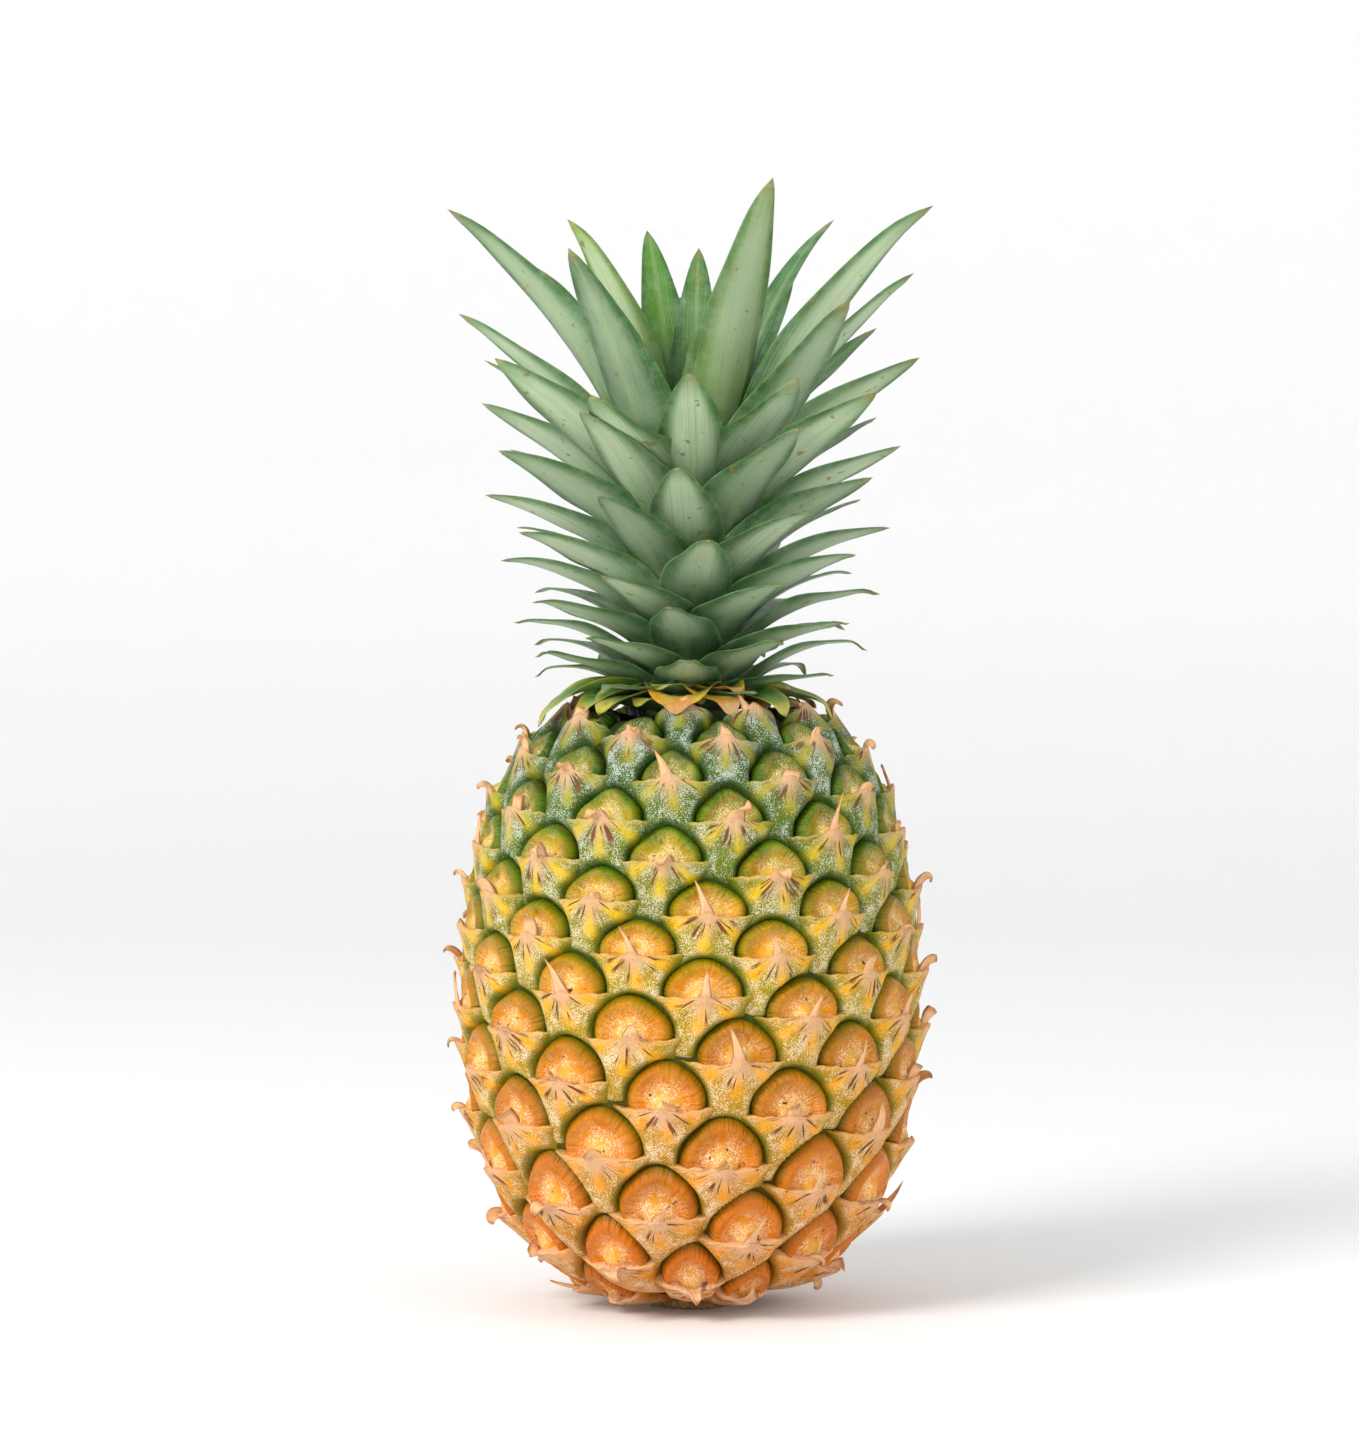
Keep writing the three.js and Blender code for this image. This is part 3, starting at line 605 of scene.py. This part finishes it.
# leaf that has dried to paper: matt, fibrous along its length about every 0.3 mm, with darker edges
tip_paper, tree, shader = new_material("bract_tip_dry_paper")
tint = add(tree, "Attribute", attribute_name="tint").outputs["Color"]
fibre_map = add(tree, "Attribute", attribute_name="grainmap").outputs["Vector"]
fibre_place = add(tree, "VectorMath", {0: fibre_map, 1: (3.2, 0.35, 80.0)}, operation="MULTIPLY").outputs[0]
fibres = add(tree, "TexNoise", {"Vector": fibre_place, "Scale": 1.0, "Detail": 3.0}).outputs[0]
dark = add(tree, "MapRange", {0: fibres, 1: 0.5, 2: 0.68, 3: 0.0, 4: 0.55}).outputs[0]
streaked = add(tree, "Mix", {"Factor": dark, 6: tint, 7: linear("#B5774F")}, data_type="RGBA").outputs[2]
tree.links.new(streaked, shader.inputs["Base Color"])
bump = add(tree, "Bump", {"Height": fibres, "Strength": 0.5, "Distance": 0.5 * MM}).outputs[0]
tree.links.new(bump, shader.inputs["Normal"])
shader.inputs["Roughness"].default_value = 0.7
shader.inputs["Subsurface Weight"].default_value = 0.15
shader.inputs["Subsurface Radius"].default_value = (2 * MM, MM, 0.6 * MM)
bract_tips.data.materials.append(tip_paper)
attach(bract_tips, "root")
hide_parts("fruit")


# The crown: a short stem closely set with stiff channelled leaves, each five twelfths of a turn on from the
# last, short and arching at the foot, long and upright at the top. They are waxy and blue-green outside,
# greener inside.

CROWN_STEM_RADIUS = 13.0
CROWN_STEM_BASE = 158.0
CROWN_STEM_TOP = 236.0
LEAF_TURN = 150.0
LEAF_START = 30.0
RULE_LEAVES = 64
TURN_WANDER = 5.0
LOWEST_TIP = 167.5
LOWEST_FOOT = 165.5
LEAF_REACH = 48.5
LEAF_HALF_WIDTH = 10.0


def draw(count, salt):
    """A repeatable number from 0 to 1 for each leaf, the same as the solids' own."""
    value = np.sin(count * 12.9898 + salt * 78.233) * 43758.5453
    return value - np.floor(value)


# azimuth, reach and height of the tip, height of the foot, half width, slope at the foot and at the tip
TALL_LEAVES = np.array([
    (-86, 66, 296, 208, 9.5, 74, 34),
    (-104, 65, 269, 204, 9.5, 72, 32),
    (-72, 36, 293, 218, 8.0, 82, 48),
    (-42, 46, 284, 205, 13.0, 72, 54),
    (-155, 30, 293.5, 220, 9.0, 84, 66),
    (176, 22, 288, 222, 8.0, 86, 74),
    (34, 36, 303, 208, 12.5, 78, 62),
    (122, 46, 296, 216, 9.5, 80, 44),
    (82, 66, 297, 208, 9.5, 74, 36),
    (104, 63, 280, 206, 9.0, 72, 36),
    (50, 56, 270, 200, 12.0, 70, 46),
    (148, 54, 282, 210, 9.0, 74, 44),
    (-128, 56, 284, 212, 9.0, 76, 44),
    (-178, 48, 276, 208, 9.5, 74, 48),
    (12, 13, 262, 222, 6.0, 84, 80),
    (130, 14, 268, 224, 6.0, 84, 80),
    (-115, 15, 264, 223, 6.0, 84, 80),
])


def rule_leaves():
    """The leaves of the main spiral: tips rise and reach out with the square of the count, and slopes
    steepen."""
    count = np.arange(RULE_LEAVES)
    climb = count / (RULE_LEAVES - 1)
    tip_height = LOWEST_TIP + 0.86 * count + 0.0113 * count**2
    return vectors(
        LEAF_START + LEAF_TURN * count + TURN_WANDER * (2 * draw(count, 3) - 1),
        LEAF_REACH + 0.0036 * count**2 + 4 * (draw(count, 4) - 0.5) - 12 * np.exp(-count / 4),
        tip_height + 2.4 * (draw(count, 5) - 0.3),
        np.maximum(LOWEST_FOOT + 0.12 * count, tip_height - 9.5 - 0.0121 * count**2),
        LEAF_HALF_WIDTH + 2 * climb,
        32 + 40 * climb**0.8,
        -34 + 68 * climb**0.7,
    )


# azimuth, reach and height of the tip, height of the foot, half width, slope at the foot and at the tip
DROOPING_LEAVES = np.array([
    (-8, 37, 161.5, 165.0, 11.0, 22, -30),
    (14, 34, 162.5, 166.0, 10.0, 24, -22),
    (-38, 37, 162.0, 165.0, 10.5, 22, -30),
    (44, 38, 161.0, 164.5, 9.5, 24, -34),
    (-55, 39, 160.5, 165.0, 9.5, 24, -38),
    (-72, 44, 157.5, 166.0, 7.5, 34, -60),
    (-92, 41, 160.0, 166.0, 7.0, 34, -48),
    (78, 40, 161.0, 165.0, 8.5, 26, -36),
    (112, 38, 161.5, 165.0, 9.5, 24, -32),
    (146, 41, 160.0, 165.0, 9.0, 28, -40),
    (180, 37, 161.5, 165.0, 10.5, 22, -30),
    (-148, 40, 160.5, 165.0, 9.5, 26, -36),
    (-118, 38, 161.5, 165.0, 9.5, 24, -32),
])
SCALE_LEAVES = 7
NESTLED_LEAVES = 15


def scale_leaves():
    """The ring of short broad leaves at the crown's foot, those that droop over the top eyes, and between
    both and the fruit a ring that lies close on the rind."""
    count = np.arange(SCALE_LEAVES)
    ring = vectors(
        -72 + 360 / SCALE_LEAVES * count + 2 * TURN_WANDER * (2 * draw(count, 6) - 1),
        27 + 3 * draw(count, 7),
        167 + draw(count, 8),
        165,
        8,
        25,
        -5,
    )
    count = np.arange(NESTLED_LEAVES)
    nest = vectors(
        10 + 360 / NESTLED_LEAVES * count + 3 * TURN_WANDER * draw(count, 9),
        24 + 8 * draw(count, 10),
        161.5 + 5 * draw(count, 11),
        163.5,
        5.5 + 4 * draw(count, 12),
        16 + 14 * draw(count, 13),
        -30 + 50 * draw(count, 11),
    )
    return np.concatenate([ring, DROOPING_LEAVES, nest])


BLADE_ROWS = 30
BLADE_COLUMNS = 13
ROOT_RADIUS = 8.0
ROOT_DROP = 4.0


def heading(slope):
    """A step of length 1 at a slope in degrees, as out and up."""
    return vectors(np.cos(np.radians(slope)), np.sin(np.radians(slope)))


def midribs(leaves, luck, hook):
    """Each leaf's midrib: a cubic Bezier in an upright plane, from the stem to its tip, whose end a hook
    pulls down and in. Returns its points and directions as out and up, its straight length, and the rows'
    shares of it."""
    reach, tip_height, foot_height, _, foot_slope, tip_slope = leaves.T[1:, :, None]
    foot, tip = vectors(ROOT_RADIUS, foot_height - ROOT_DROP), vectors(reach, tip_height)
    span = np.linalg.norm(tip - foot, axis=-1, keepdims=True)
    second, third = foot + 0.38 * span * heading(foot_slope), tip - 0.34 * span * heading(tip_slope)
    share = np.linspace(0, 1, BLADE_ROWS)[None, :, None]
    midrib = (1 - share) ** 3 * foot + 3 * share * (1 - share) ** 2 * second
    midrib = midrib + 3 * share**2 * (1 - share) * third + share**3 * tip
    share = share[..., 0]
    curl = smooth(share, 0.86, 1.0) ** 1.5
    midrib[..., 1] -= hook * curl * (0.4 + luck[:, 0:1])
    midrib[..., 0] -= 0.3 * hook * curl
    slope = np.gradient(midrib, axis=1)
    slope /= np.linalg.norm(slope, axis=-1, keepdims=True)
    return midrib, slope, span, share


def blade_grid(leaves, luck, hook, thickness, cup, roll):
    """Across each midrib lies a channel whose edges turn up with about the square of the distance, twice
    over, outer face and inner face, closed in a ring. Cup, from 0 to 1, is how deep the channel is, and
    roll how far the blade turns about its midrib, in degrees. Returns the points, a map of them in
    millimetres across and along with a seeded number, and their sides, shares of the length and faces."""
    midrib, slope, span, share = midribs(leaves, luck, hook)
    taper = np.clip(1 - share, 0, 1) ** (1.05 - 0.37 * cup)
    width = leaves[:, 4:5] * (0.78 + 2.0 * share) * taper * (1 - 0.45 * share)
    section = np.sin(np.linspace(-np.pi / 2, np.pi / 2, BLADE_COLUMNS))
    side = np.concatenate([section[::-1], section[1:-1]])
    face = np.concatenate([np.zeros(BLADE_COLUMNS), np.ones(BLADE_COLUMNS - 2)])
    thick = thickness * (1 - 0.6 * share)[..., None] * np.sqrt(np.clip(1 - side**2, 0, 1)) * (face - 0.5)
    channel = (cup * (0.62 - 0.3 * share) * (1 - 0.8 * smooth(share, 0.35, 0.85)) * width)[..., None]
    ripple = 0.35 * np.sin(14 * share + WHOLE_TURN * luck[:, 1:2])[..., None] * np.abs(side) ** 3
    inner = channel * np.abs(side) ** 1.9 + thick + ripple
    flat = width[..., None] * side
    rolled = (np.radians(roll) * smooth(share, 0.05, 0.6))[..., None]
    drift = (6 * (luck[:, 2:3] - 0.5) * share**2)[..., None]
    across = flat * np.cos(rolled) - inner * np.sin(rolled) + drift
    inner = flat * np.sin(rolled) + inner * np.cos(rolled)
    radius = midrib[..., 0, None] - slope[..., 1, None] * inner
    height = midrib[..., 1, None] + slope[..., 0, None] * inner
    turn = np.radians(leaves[:, 0, None, None])
    points = around(radius, turn, height) + around(across, turn + np.pi / 2, 0)
    share = share[..., None]
    return points, vectors(flat, share * span, 30 * luck[:, 3, None, None]), side, share, face


def face_forward(azimuth):
    """How far each leaf at the sides rolls, in degrees, so that its outer face turns a little forward."""
    beside = smooth(np.abs(azimuth), 40, 65) * (1 - smooth(np.abs(azimuth), 106, 124))
    return (-32 * np.sign(azimuth) * beside)[:, None]


OUTER_COLOURS = ("#8AA868", "#84A670", "#7EA26E", "#7EA660", "#98B840")
INNER_COLOURS = ("#3E6A2A", "#2C5E26", "#2A6424", "#3E8224", "#64A028")


def leaf_tint(side, share, face, vigour, luck):
    """Outer face dusted pale, inner face greener, both darkened with painted shade at the foot, where the
    other leaves crowd round it, and dark towards the sides, with a pale midline, bright margins and a dry
    tip."""
    level = vigour[:, None, None]
    tint = blend(along(level, OUTER_COLOURS), along(level, INNER_COLOURS), face)
    bloom = (1 - smooth(np.abs(side), 0.3, 0.9)) * smooth(share, 0.25, 0.6) * (1 - smooth(share, 0.8, 0.98))
    tint = blend(tint, linear("#D8E8C4"), 0.82 * bloom * (1 - face))
    tint = blend(tint, linear("#1F5420"), 0.78 * smooth(np.abs(side), 0.5, 0.95))
    # painted shade at the foot of each blade, where the other leaves crowd round it
    tint = blend(tint, linear("#14340F"), 0.76 * (1 - smooth(share, 0.18, 0.46)))
    tint = blend(tint, linear("#1F5026"), 0.6 * luck[:, 5, None, None] ** 2)
    tint = blend(tint, linear("#B4C488"), 0.3 * bell(side, 0, 0.05))
    tint = blend(tint, linear("#5F9A2A"), 0.6 * smooth(np.abs(side), 0.95, 0.995))
    return blend(tint, linear("#8C7238"), 0.85 * smooth(share, 0.955 - 0.05 * luck[:, 4, None, None], 0.995))


LEAF_LUCKS = 6
LEAF_THICKNESS = 1.3
LOW_HOOK = 2.2
HOOKED_LEAVES = 45
FACING_TURN = 65
LEAST_TIP_SLOPE = 14
LOWERED_TIPS = {60: 12, 62: 20}

leaf_luck = chance.random((RULE_LEAVES, LEAF_LUCKS))
low_hook = LOW_HOOK * np.clip(1 - np.arange(RULE_LEAVES) / HOOKED_LEAVES, 0.1, 1)[:, None]
spiral = rule_leaves()
for leaf, drop in LOWERED_TIPS.items():  # two leaves stand shorter in front of the tall ones
    spiral[leaf, 2] -= drop
spiral[:, 0] = (spiral[:, 0] + 180) % 360 - 180
facing = np.abs(spiral[:, 0]) < FACING_TURN
spiral[facing, 6] = np.maximum(spiral[facing, 6], LEAST_TIP_SLOPE)
climb = np.linspace(0, 1, RULE_LEAVES)[:, None]
points, measure, side, share, face = blade_grid(
    spiral, leaf_luck, low_hook, LEAF_THICKNESS, 0.35 + 0.65 * climb, face_forward(spiral[:, 0]) * climb)
vigour = 0.15 + 0.55 * np.arange(RULE_LEAVES) / RULE_LEAVES
tint = leaf_tint(side, share, face, vigour, leaf_luck)
crown_leaves = grid_piece("crown_leaves", points, ring=True, poles=(0, -1), tint=tint, blade=measure)

tall_luck = chance.random((len(TALL_LEAVES), LEAF_LUCKS))
points, measure, side, share, face = blade_grid(
    TALL_LEAVES, tall_luck, 1.0, LEAF_THICKNESS, 1.0, face_forward(TALL_LEAVES[:, 0]))
tall_vigour = np.interp(TALL_LEAVES[:, 1], (20, 36, 44, 66), (0.95, 1.0, 0.55, 0.6))
tint = leaf_tint(side, share, face, tall_vigour, tall_luck)
tall_leaves = grid_piece("tall_crown_leaves", points, ring=True, poles=(0, -1), tint=tint, blade=measure)

SCALE_THICKNESS = 1.0
GOLDEN_LUCK = 0.72
GOLDEN_DROOPING = 2

foot_rows = scale_leaves()
scale_luck = chance.random((len(foot_rows), LEAF_LUCKS))
points, measure, side, share, face = blade_grid(foot_rows, scale_luck, 2.0, SCALE_THICKNESS, 1.0, 0.0)
golden = scale_luck[:, 5] > GOLDEN_LUCK
drooping = slice(SCALE_LEAVES, SCALE_LEAVES + len(DROOPING_LEAVES))
golden[drooping] = np.arange(len(DROOPING_LEAVES)) < GOLDEN_DROOPING
golden = golden[:, None, None]
tint = leaf_tint(side, share, face, np.zeros(len(foot_rows)), scale_luck)
tint = blend(tint, along(scale_luck[:, 3, None, None], ("#2F6A20", "#6A9A30"), (0, 1)), 0.8)
yellowing = np.maximum(smooth(share, 0.7, 0.97), smooth(np.abs(side), 0.72, 0.98) * smooth(share, 0.3, 0.6))
gold = np.where(golden, smooth(share + 0.1 * np.sin(7 * side), 0.3, 0.7), 0.5 * yellowing)
tint = blend(tint, linear("#F0C81E"), 0.95 * gold)
tint = blend(tint, linear("#EE9210"), 0.9 * golden * smooth(share + 0.1 * np.sin(5 * side), 0.55, 0.85))
frayed = share + 0.04 * np.sin(11 * side + WHOLE_TURN * scale_luck[:, 2, None, None])
tint = blend(tint, linear("#C78A50"), 0.95 * golden * smooth(frayed, 0.84, 0.93))
foot_leaves = grid_piece("foot_scale_leaves", points, ring=True, poles=(0, -1), tint=tint, blade=measure)

CROWN_STEM_COLUMNS = 36

# radius and height of the crown's stem, from its top down
stem_outline = np.array([
    (0, CROWN_STEM_TOP),
    (CROWN_STEM_RADIUS * 0.3, CROWN_STEM_TOP - 3),
    (CROWN_STEM_RADIUS / 2, CROWN_STEM_TOP - 14),
    (CROWN_STEM_RADIUS - 2, CROWN_STEM_BASE + 40),
    (CROWN_STEM_RADIUS, CROWN_STEM_BASE + 10),
    (CROWN_STEM_RADIUS - 1, CROWN_STEM_BASE),
    (0, CROWN_STEM_BASE),
])
turn = np.radians(np.linspace(0, 360, CROWN_STEM_COLUMNS, endpoint=False))
stem_points = around(stem_outline[:, :1], turn, stem_outline[:, 1:])[None]
crown_stem = grid_piece(
    "crown_stem", stem_points, ring=True, poles=(0, -1), tint=linear("#8FA05A"), blade=stem_points)

# waxy leaf, as it grew: satin, ribbed with fine parallel veins about 0.5 mm apart, under a pale dusty bloom
# with a few dry flecks of 1 mm
leaf_wax, tree, shader = new_material("crown_leaf_waxy_bloom")
place = add(tree, "TexCoord").outputs["Object"]
tint = add(tree, "Attribute", attribute_name="tint").outputs["Color"]
blade_map = add(tree, "Attribute", attribute_name="blade").outputs["Vector"]
vein_place = add(tree, "VectorMath", {0: blade_map, 1: (4.5, 0.012, 1.0)}, operation="MULTIPLY").outputs[0]
veins = add(
    tree, "TexNoise", {"Vector": vein_place, "Scale": 1.0, "Detail": 3.0, "Roughness": 0.6}).outputs[0]
vein_dark = add(tree, "MapRange", {0: veins, 1: 0.5, 2: 0.7, 3: 0.0, 4: 0.36}).outputs[0]
veined = add(tree, "Mix", {"Factor": vein_dark, 6: tint, 7: linear("#46704A")}, data_type="RGBA").outputs[2]
vein_light = add(tree, "MapRange", {0: veins, 1: 0.42, 2: 0.28, 3: 0.0, 4: 0.22}).outputs[0]
veined = add(
    tree, "Mix", {"Factor": vein_light, 6: veined, 7: linear("#B9CF9E")}, data_type="RGBA").outputs[2]
dust = add(
    tree, "TexNoise", {"Vector": place, "Scale": 0.09 / MM, "Detail": 6.0, "Roughness": 0.78}).outputs[0]
dust_share = add(tree, "MapRange", {0: dust, 1: 0.42, 2: 0.68, 3: 0.0, 4: 0.42}).outputs[0]
dusted = add(
    tree, "Mix", {"Factor": dust_share, 6: veined, 7: linear("#A9C29A")}, data_type="RGBA").outputs[2]
fleck_noise = add(tree, "TexNoise", {"Vector": place, "Scale": 0.33 / MM, "Detail": 3.0}).outputs[0]
fleck = add(tree, "MapRange", {0: fleck_noise, 1: 0.66, 2: 0.7, 3: 0.0, 4: 0.8}).outputs[0]
flecked = add(tree, "Mix", {"Factor": fleck, 6: dusted, 7: linear("#8F7A3C")}, data_type="RGBA").outputs[2]
tree.links.new(flecked, shader.inputs["Base Color"])
bump = add(tree, "Bump", {"Height": veins, "Strength": 0.55, "Distance": 0.8 * MM}).outputs[0]
tree.links.new(bump, shader.inputs["Normal"])
shader.inputs["Roughness"].default_value = 0.42
shader.inputs["Specular IOR Level"].default_value = 0.3
for leafy in (crown_leaves, tall_leaves, foot_leaves, crown_stem):
    leafy.data.materials.append(leaf_wax)
    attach(leafy, "root")
    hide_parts("crown")


# The cut stem: the end of the stalk that the fruit grew on, cut level with the base, a pale fibrous disc
# that has dried brown.

STEM_RADIUS = 11.6
STEM_DEPTH = 9.0
DISC_COLUMNS = 72

# radius and height, from the middle of the cut face round its worn edge and up the side into the fruit
disc_radius = np.array([0, 3, 6, 8.5, 10.3, 11.2, STEM_RADIUS, STEM_RADIUS, 0])[:, None]
disc_height = np.array([TABLE_GAP] * 5 + [0.3, 0.9, STEM_DEPTH, STEM_DEPTH])[:, None]
turn = np.radians(np.linspace(0, 360, DISC_COLUMNS, endpoint=False))
disc_points = around(disc_radius, turn, disc_height)[None, ::-1]
cut_stem = grid_piece("stalk_end", disc_points, ring=True, poles=(0, -1))

# plant fibre, cut with a knife and dried: matt, a field of 1 mm bundle ends, pale with darker rims, stained
# in patches of 6 mm
cut_fibre, tree, shader = new_material("cut_stalk_dry_fibre")
place = add(tree, "TexCoord").outputs["Object"]
bundles = add(tree, "TexVoronoi", {"Vector": place, "Scale": 0.9 / MM}).outputs["Distance"]
stain = add(tree, "TexNoise", {"Vector": place, "Scale": 0.16 / MM, "Detail": 4.0}).outputs[0]
bundle_shade = add(tree, "MapRange", {0: bundles, 1: 0.2, 2: 0.7}).outputs[0]
fibre = add(
    tree, "Mix", {"Factor": bundle_shade, 6: linear("#C9A974"), 7: linear("#8B6A3D")},
    data_type="RGBA").outputs[2]
stained = add(tree, "Mix", {"Factor": stain, 6: fibre, 7: linear("#6A4A2A")}, data_type="RGBA").outputs[2]
tree.links.new(stained, shader.inputs["Base Color"])
bump = add(tree, "Bump", {"Height": bundles, "Strength": 0.5, "Distance": 0.5 * MM}).outputs[0]
tree.links.new(bump, shader.inputs["Normal"])
shader.inputs["Roughness"].default_value = 0.85
cut_stem.data.materials.append(cut_fibre)
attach(cut_stem, "root")
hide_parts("cut_stem")


# The room: a round pale sweep of floor and wall, a large soft light from the upper left, a weaker one from
# the right, and an even pale sky, seen by a long lens a little over a metre away.

SWEEP_COLUMNS = 96

sweep_turn = np.radians(np.linspace(0, 360, SWEEP_COLUMNS, endpoint=False))
sweep_radius = np.array([0, 400, 1500, 1900, 2200, 2380, 2450, 2450])[:, None]
sweep_height = np.array([0, 0, 0, 20, 110, 300, 700, 2600])[:, None]
sweep_points = vectors(
    sweep_radius * np.sin(sweep_turn), sweep_radius * np.cos(sweep_turn), sweep_height)[None]
sweep = grid_piece("paper_sweep", sweep_points, ring=True, poles=(0,))

# background paper, rolled and matt: plain, with no pattern
paper, tree, shader = new_material("sweep_matt_paper")
shader.inputs["Base Color"].default_value = linear("#FAFAFA")
shader.inputs["Roughness"].default_value = 0.9
sweep.data.materials.append(paper)

# name, place in metres, turn in degrees, width in metres, and power in watts
for name, place, turn, size, power in (
    ("key_softbox", (-1.3, -1.5, 1.5), (50, 0, -41), 0.9, 42.0),
    ("fill_softbox", (1.6, -1.2, 0.7), (74, 0, 53), 1.4, 7.0),
):
    light = bpy.data.lights.new(name, "AREA")
    light.size = size
    light.energy = power
    lamp = bpy.data.objects.new(name, light)
    lamp.location = place
    lamp.rotation_euler = [np.radians(angle) for angle in turn]
    bpy.context.collection.objects.link(lamp)

SKY_STRENGTH = 0.56

world = bpy.data.worlds.new("pale_sky")
world.use_nodes = True
world.node_tree.nodes["Background"].inputs["Color"].default_value = (1, 1, 1, 1)
world.node_tree.nodes["Background"].inputs["Strength"].default_value = SKY_STRENGTH
bpy.context.scene.world = world

CAMERA_DISTANCE = 1.3
CAMERA_ELEVATION = np.radians(1.5)
CAMERA_SIDE = -0.003
AIM_HEIGHT = 0.156
LENS = 119.05
FILM_HEIGHT = 36.0

camera_data = bpy.data.cameras.new("camera")
camera_data.sensor_fit = "VERTICAL"
camera_data.sensor_height = FILM_HEIGHT
camera_data.lens = LENS
camera = bpy.data.objects.new("camera", camera_data)
camera.location = (
    CAMERA_SIDE,
    -CAMERA_DISTANCE * np.cos(CAMERA_ELEVATION),
    AIM_HEIGHT + CAMERA_DISTANCE * np.sin(CAMERA_ELEVATION),
)
camera.rotation_euler = (np.pi / 2 - CAMERA_ELEVATION, 0, 0)
bpy.context.collection.objects.link(camera)
bpy.context.scene.camera = camera
bpy.context.scene.view_settings.view_transform = "Standard"
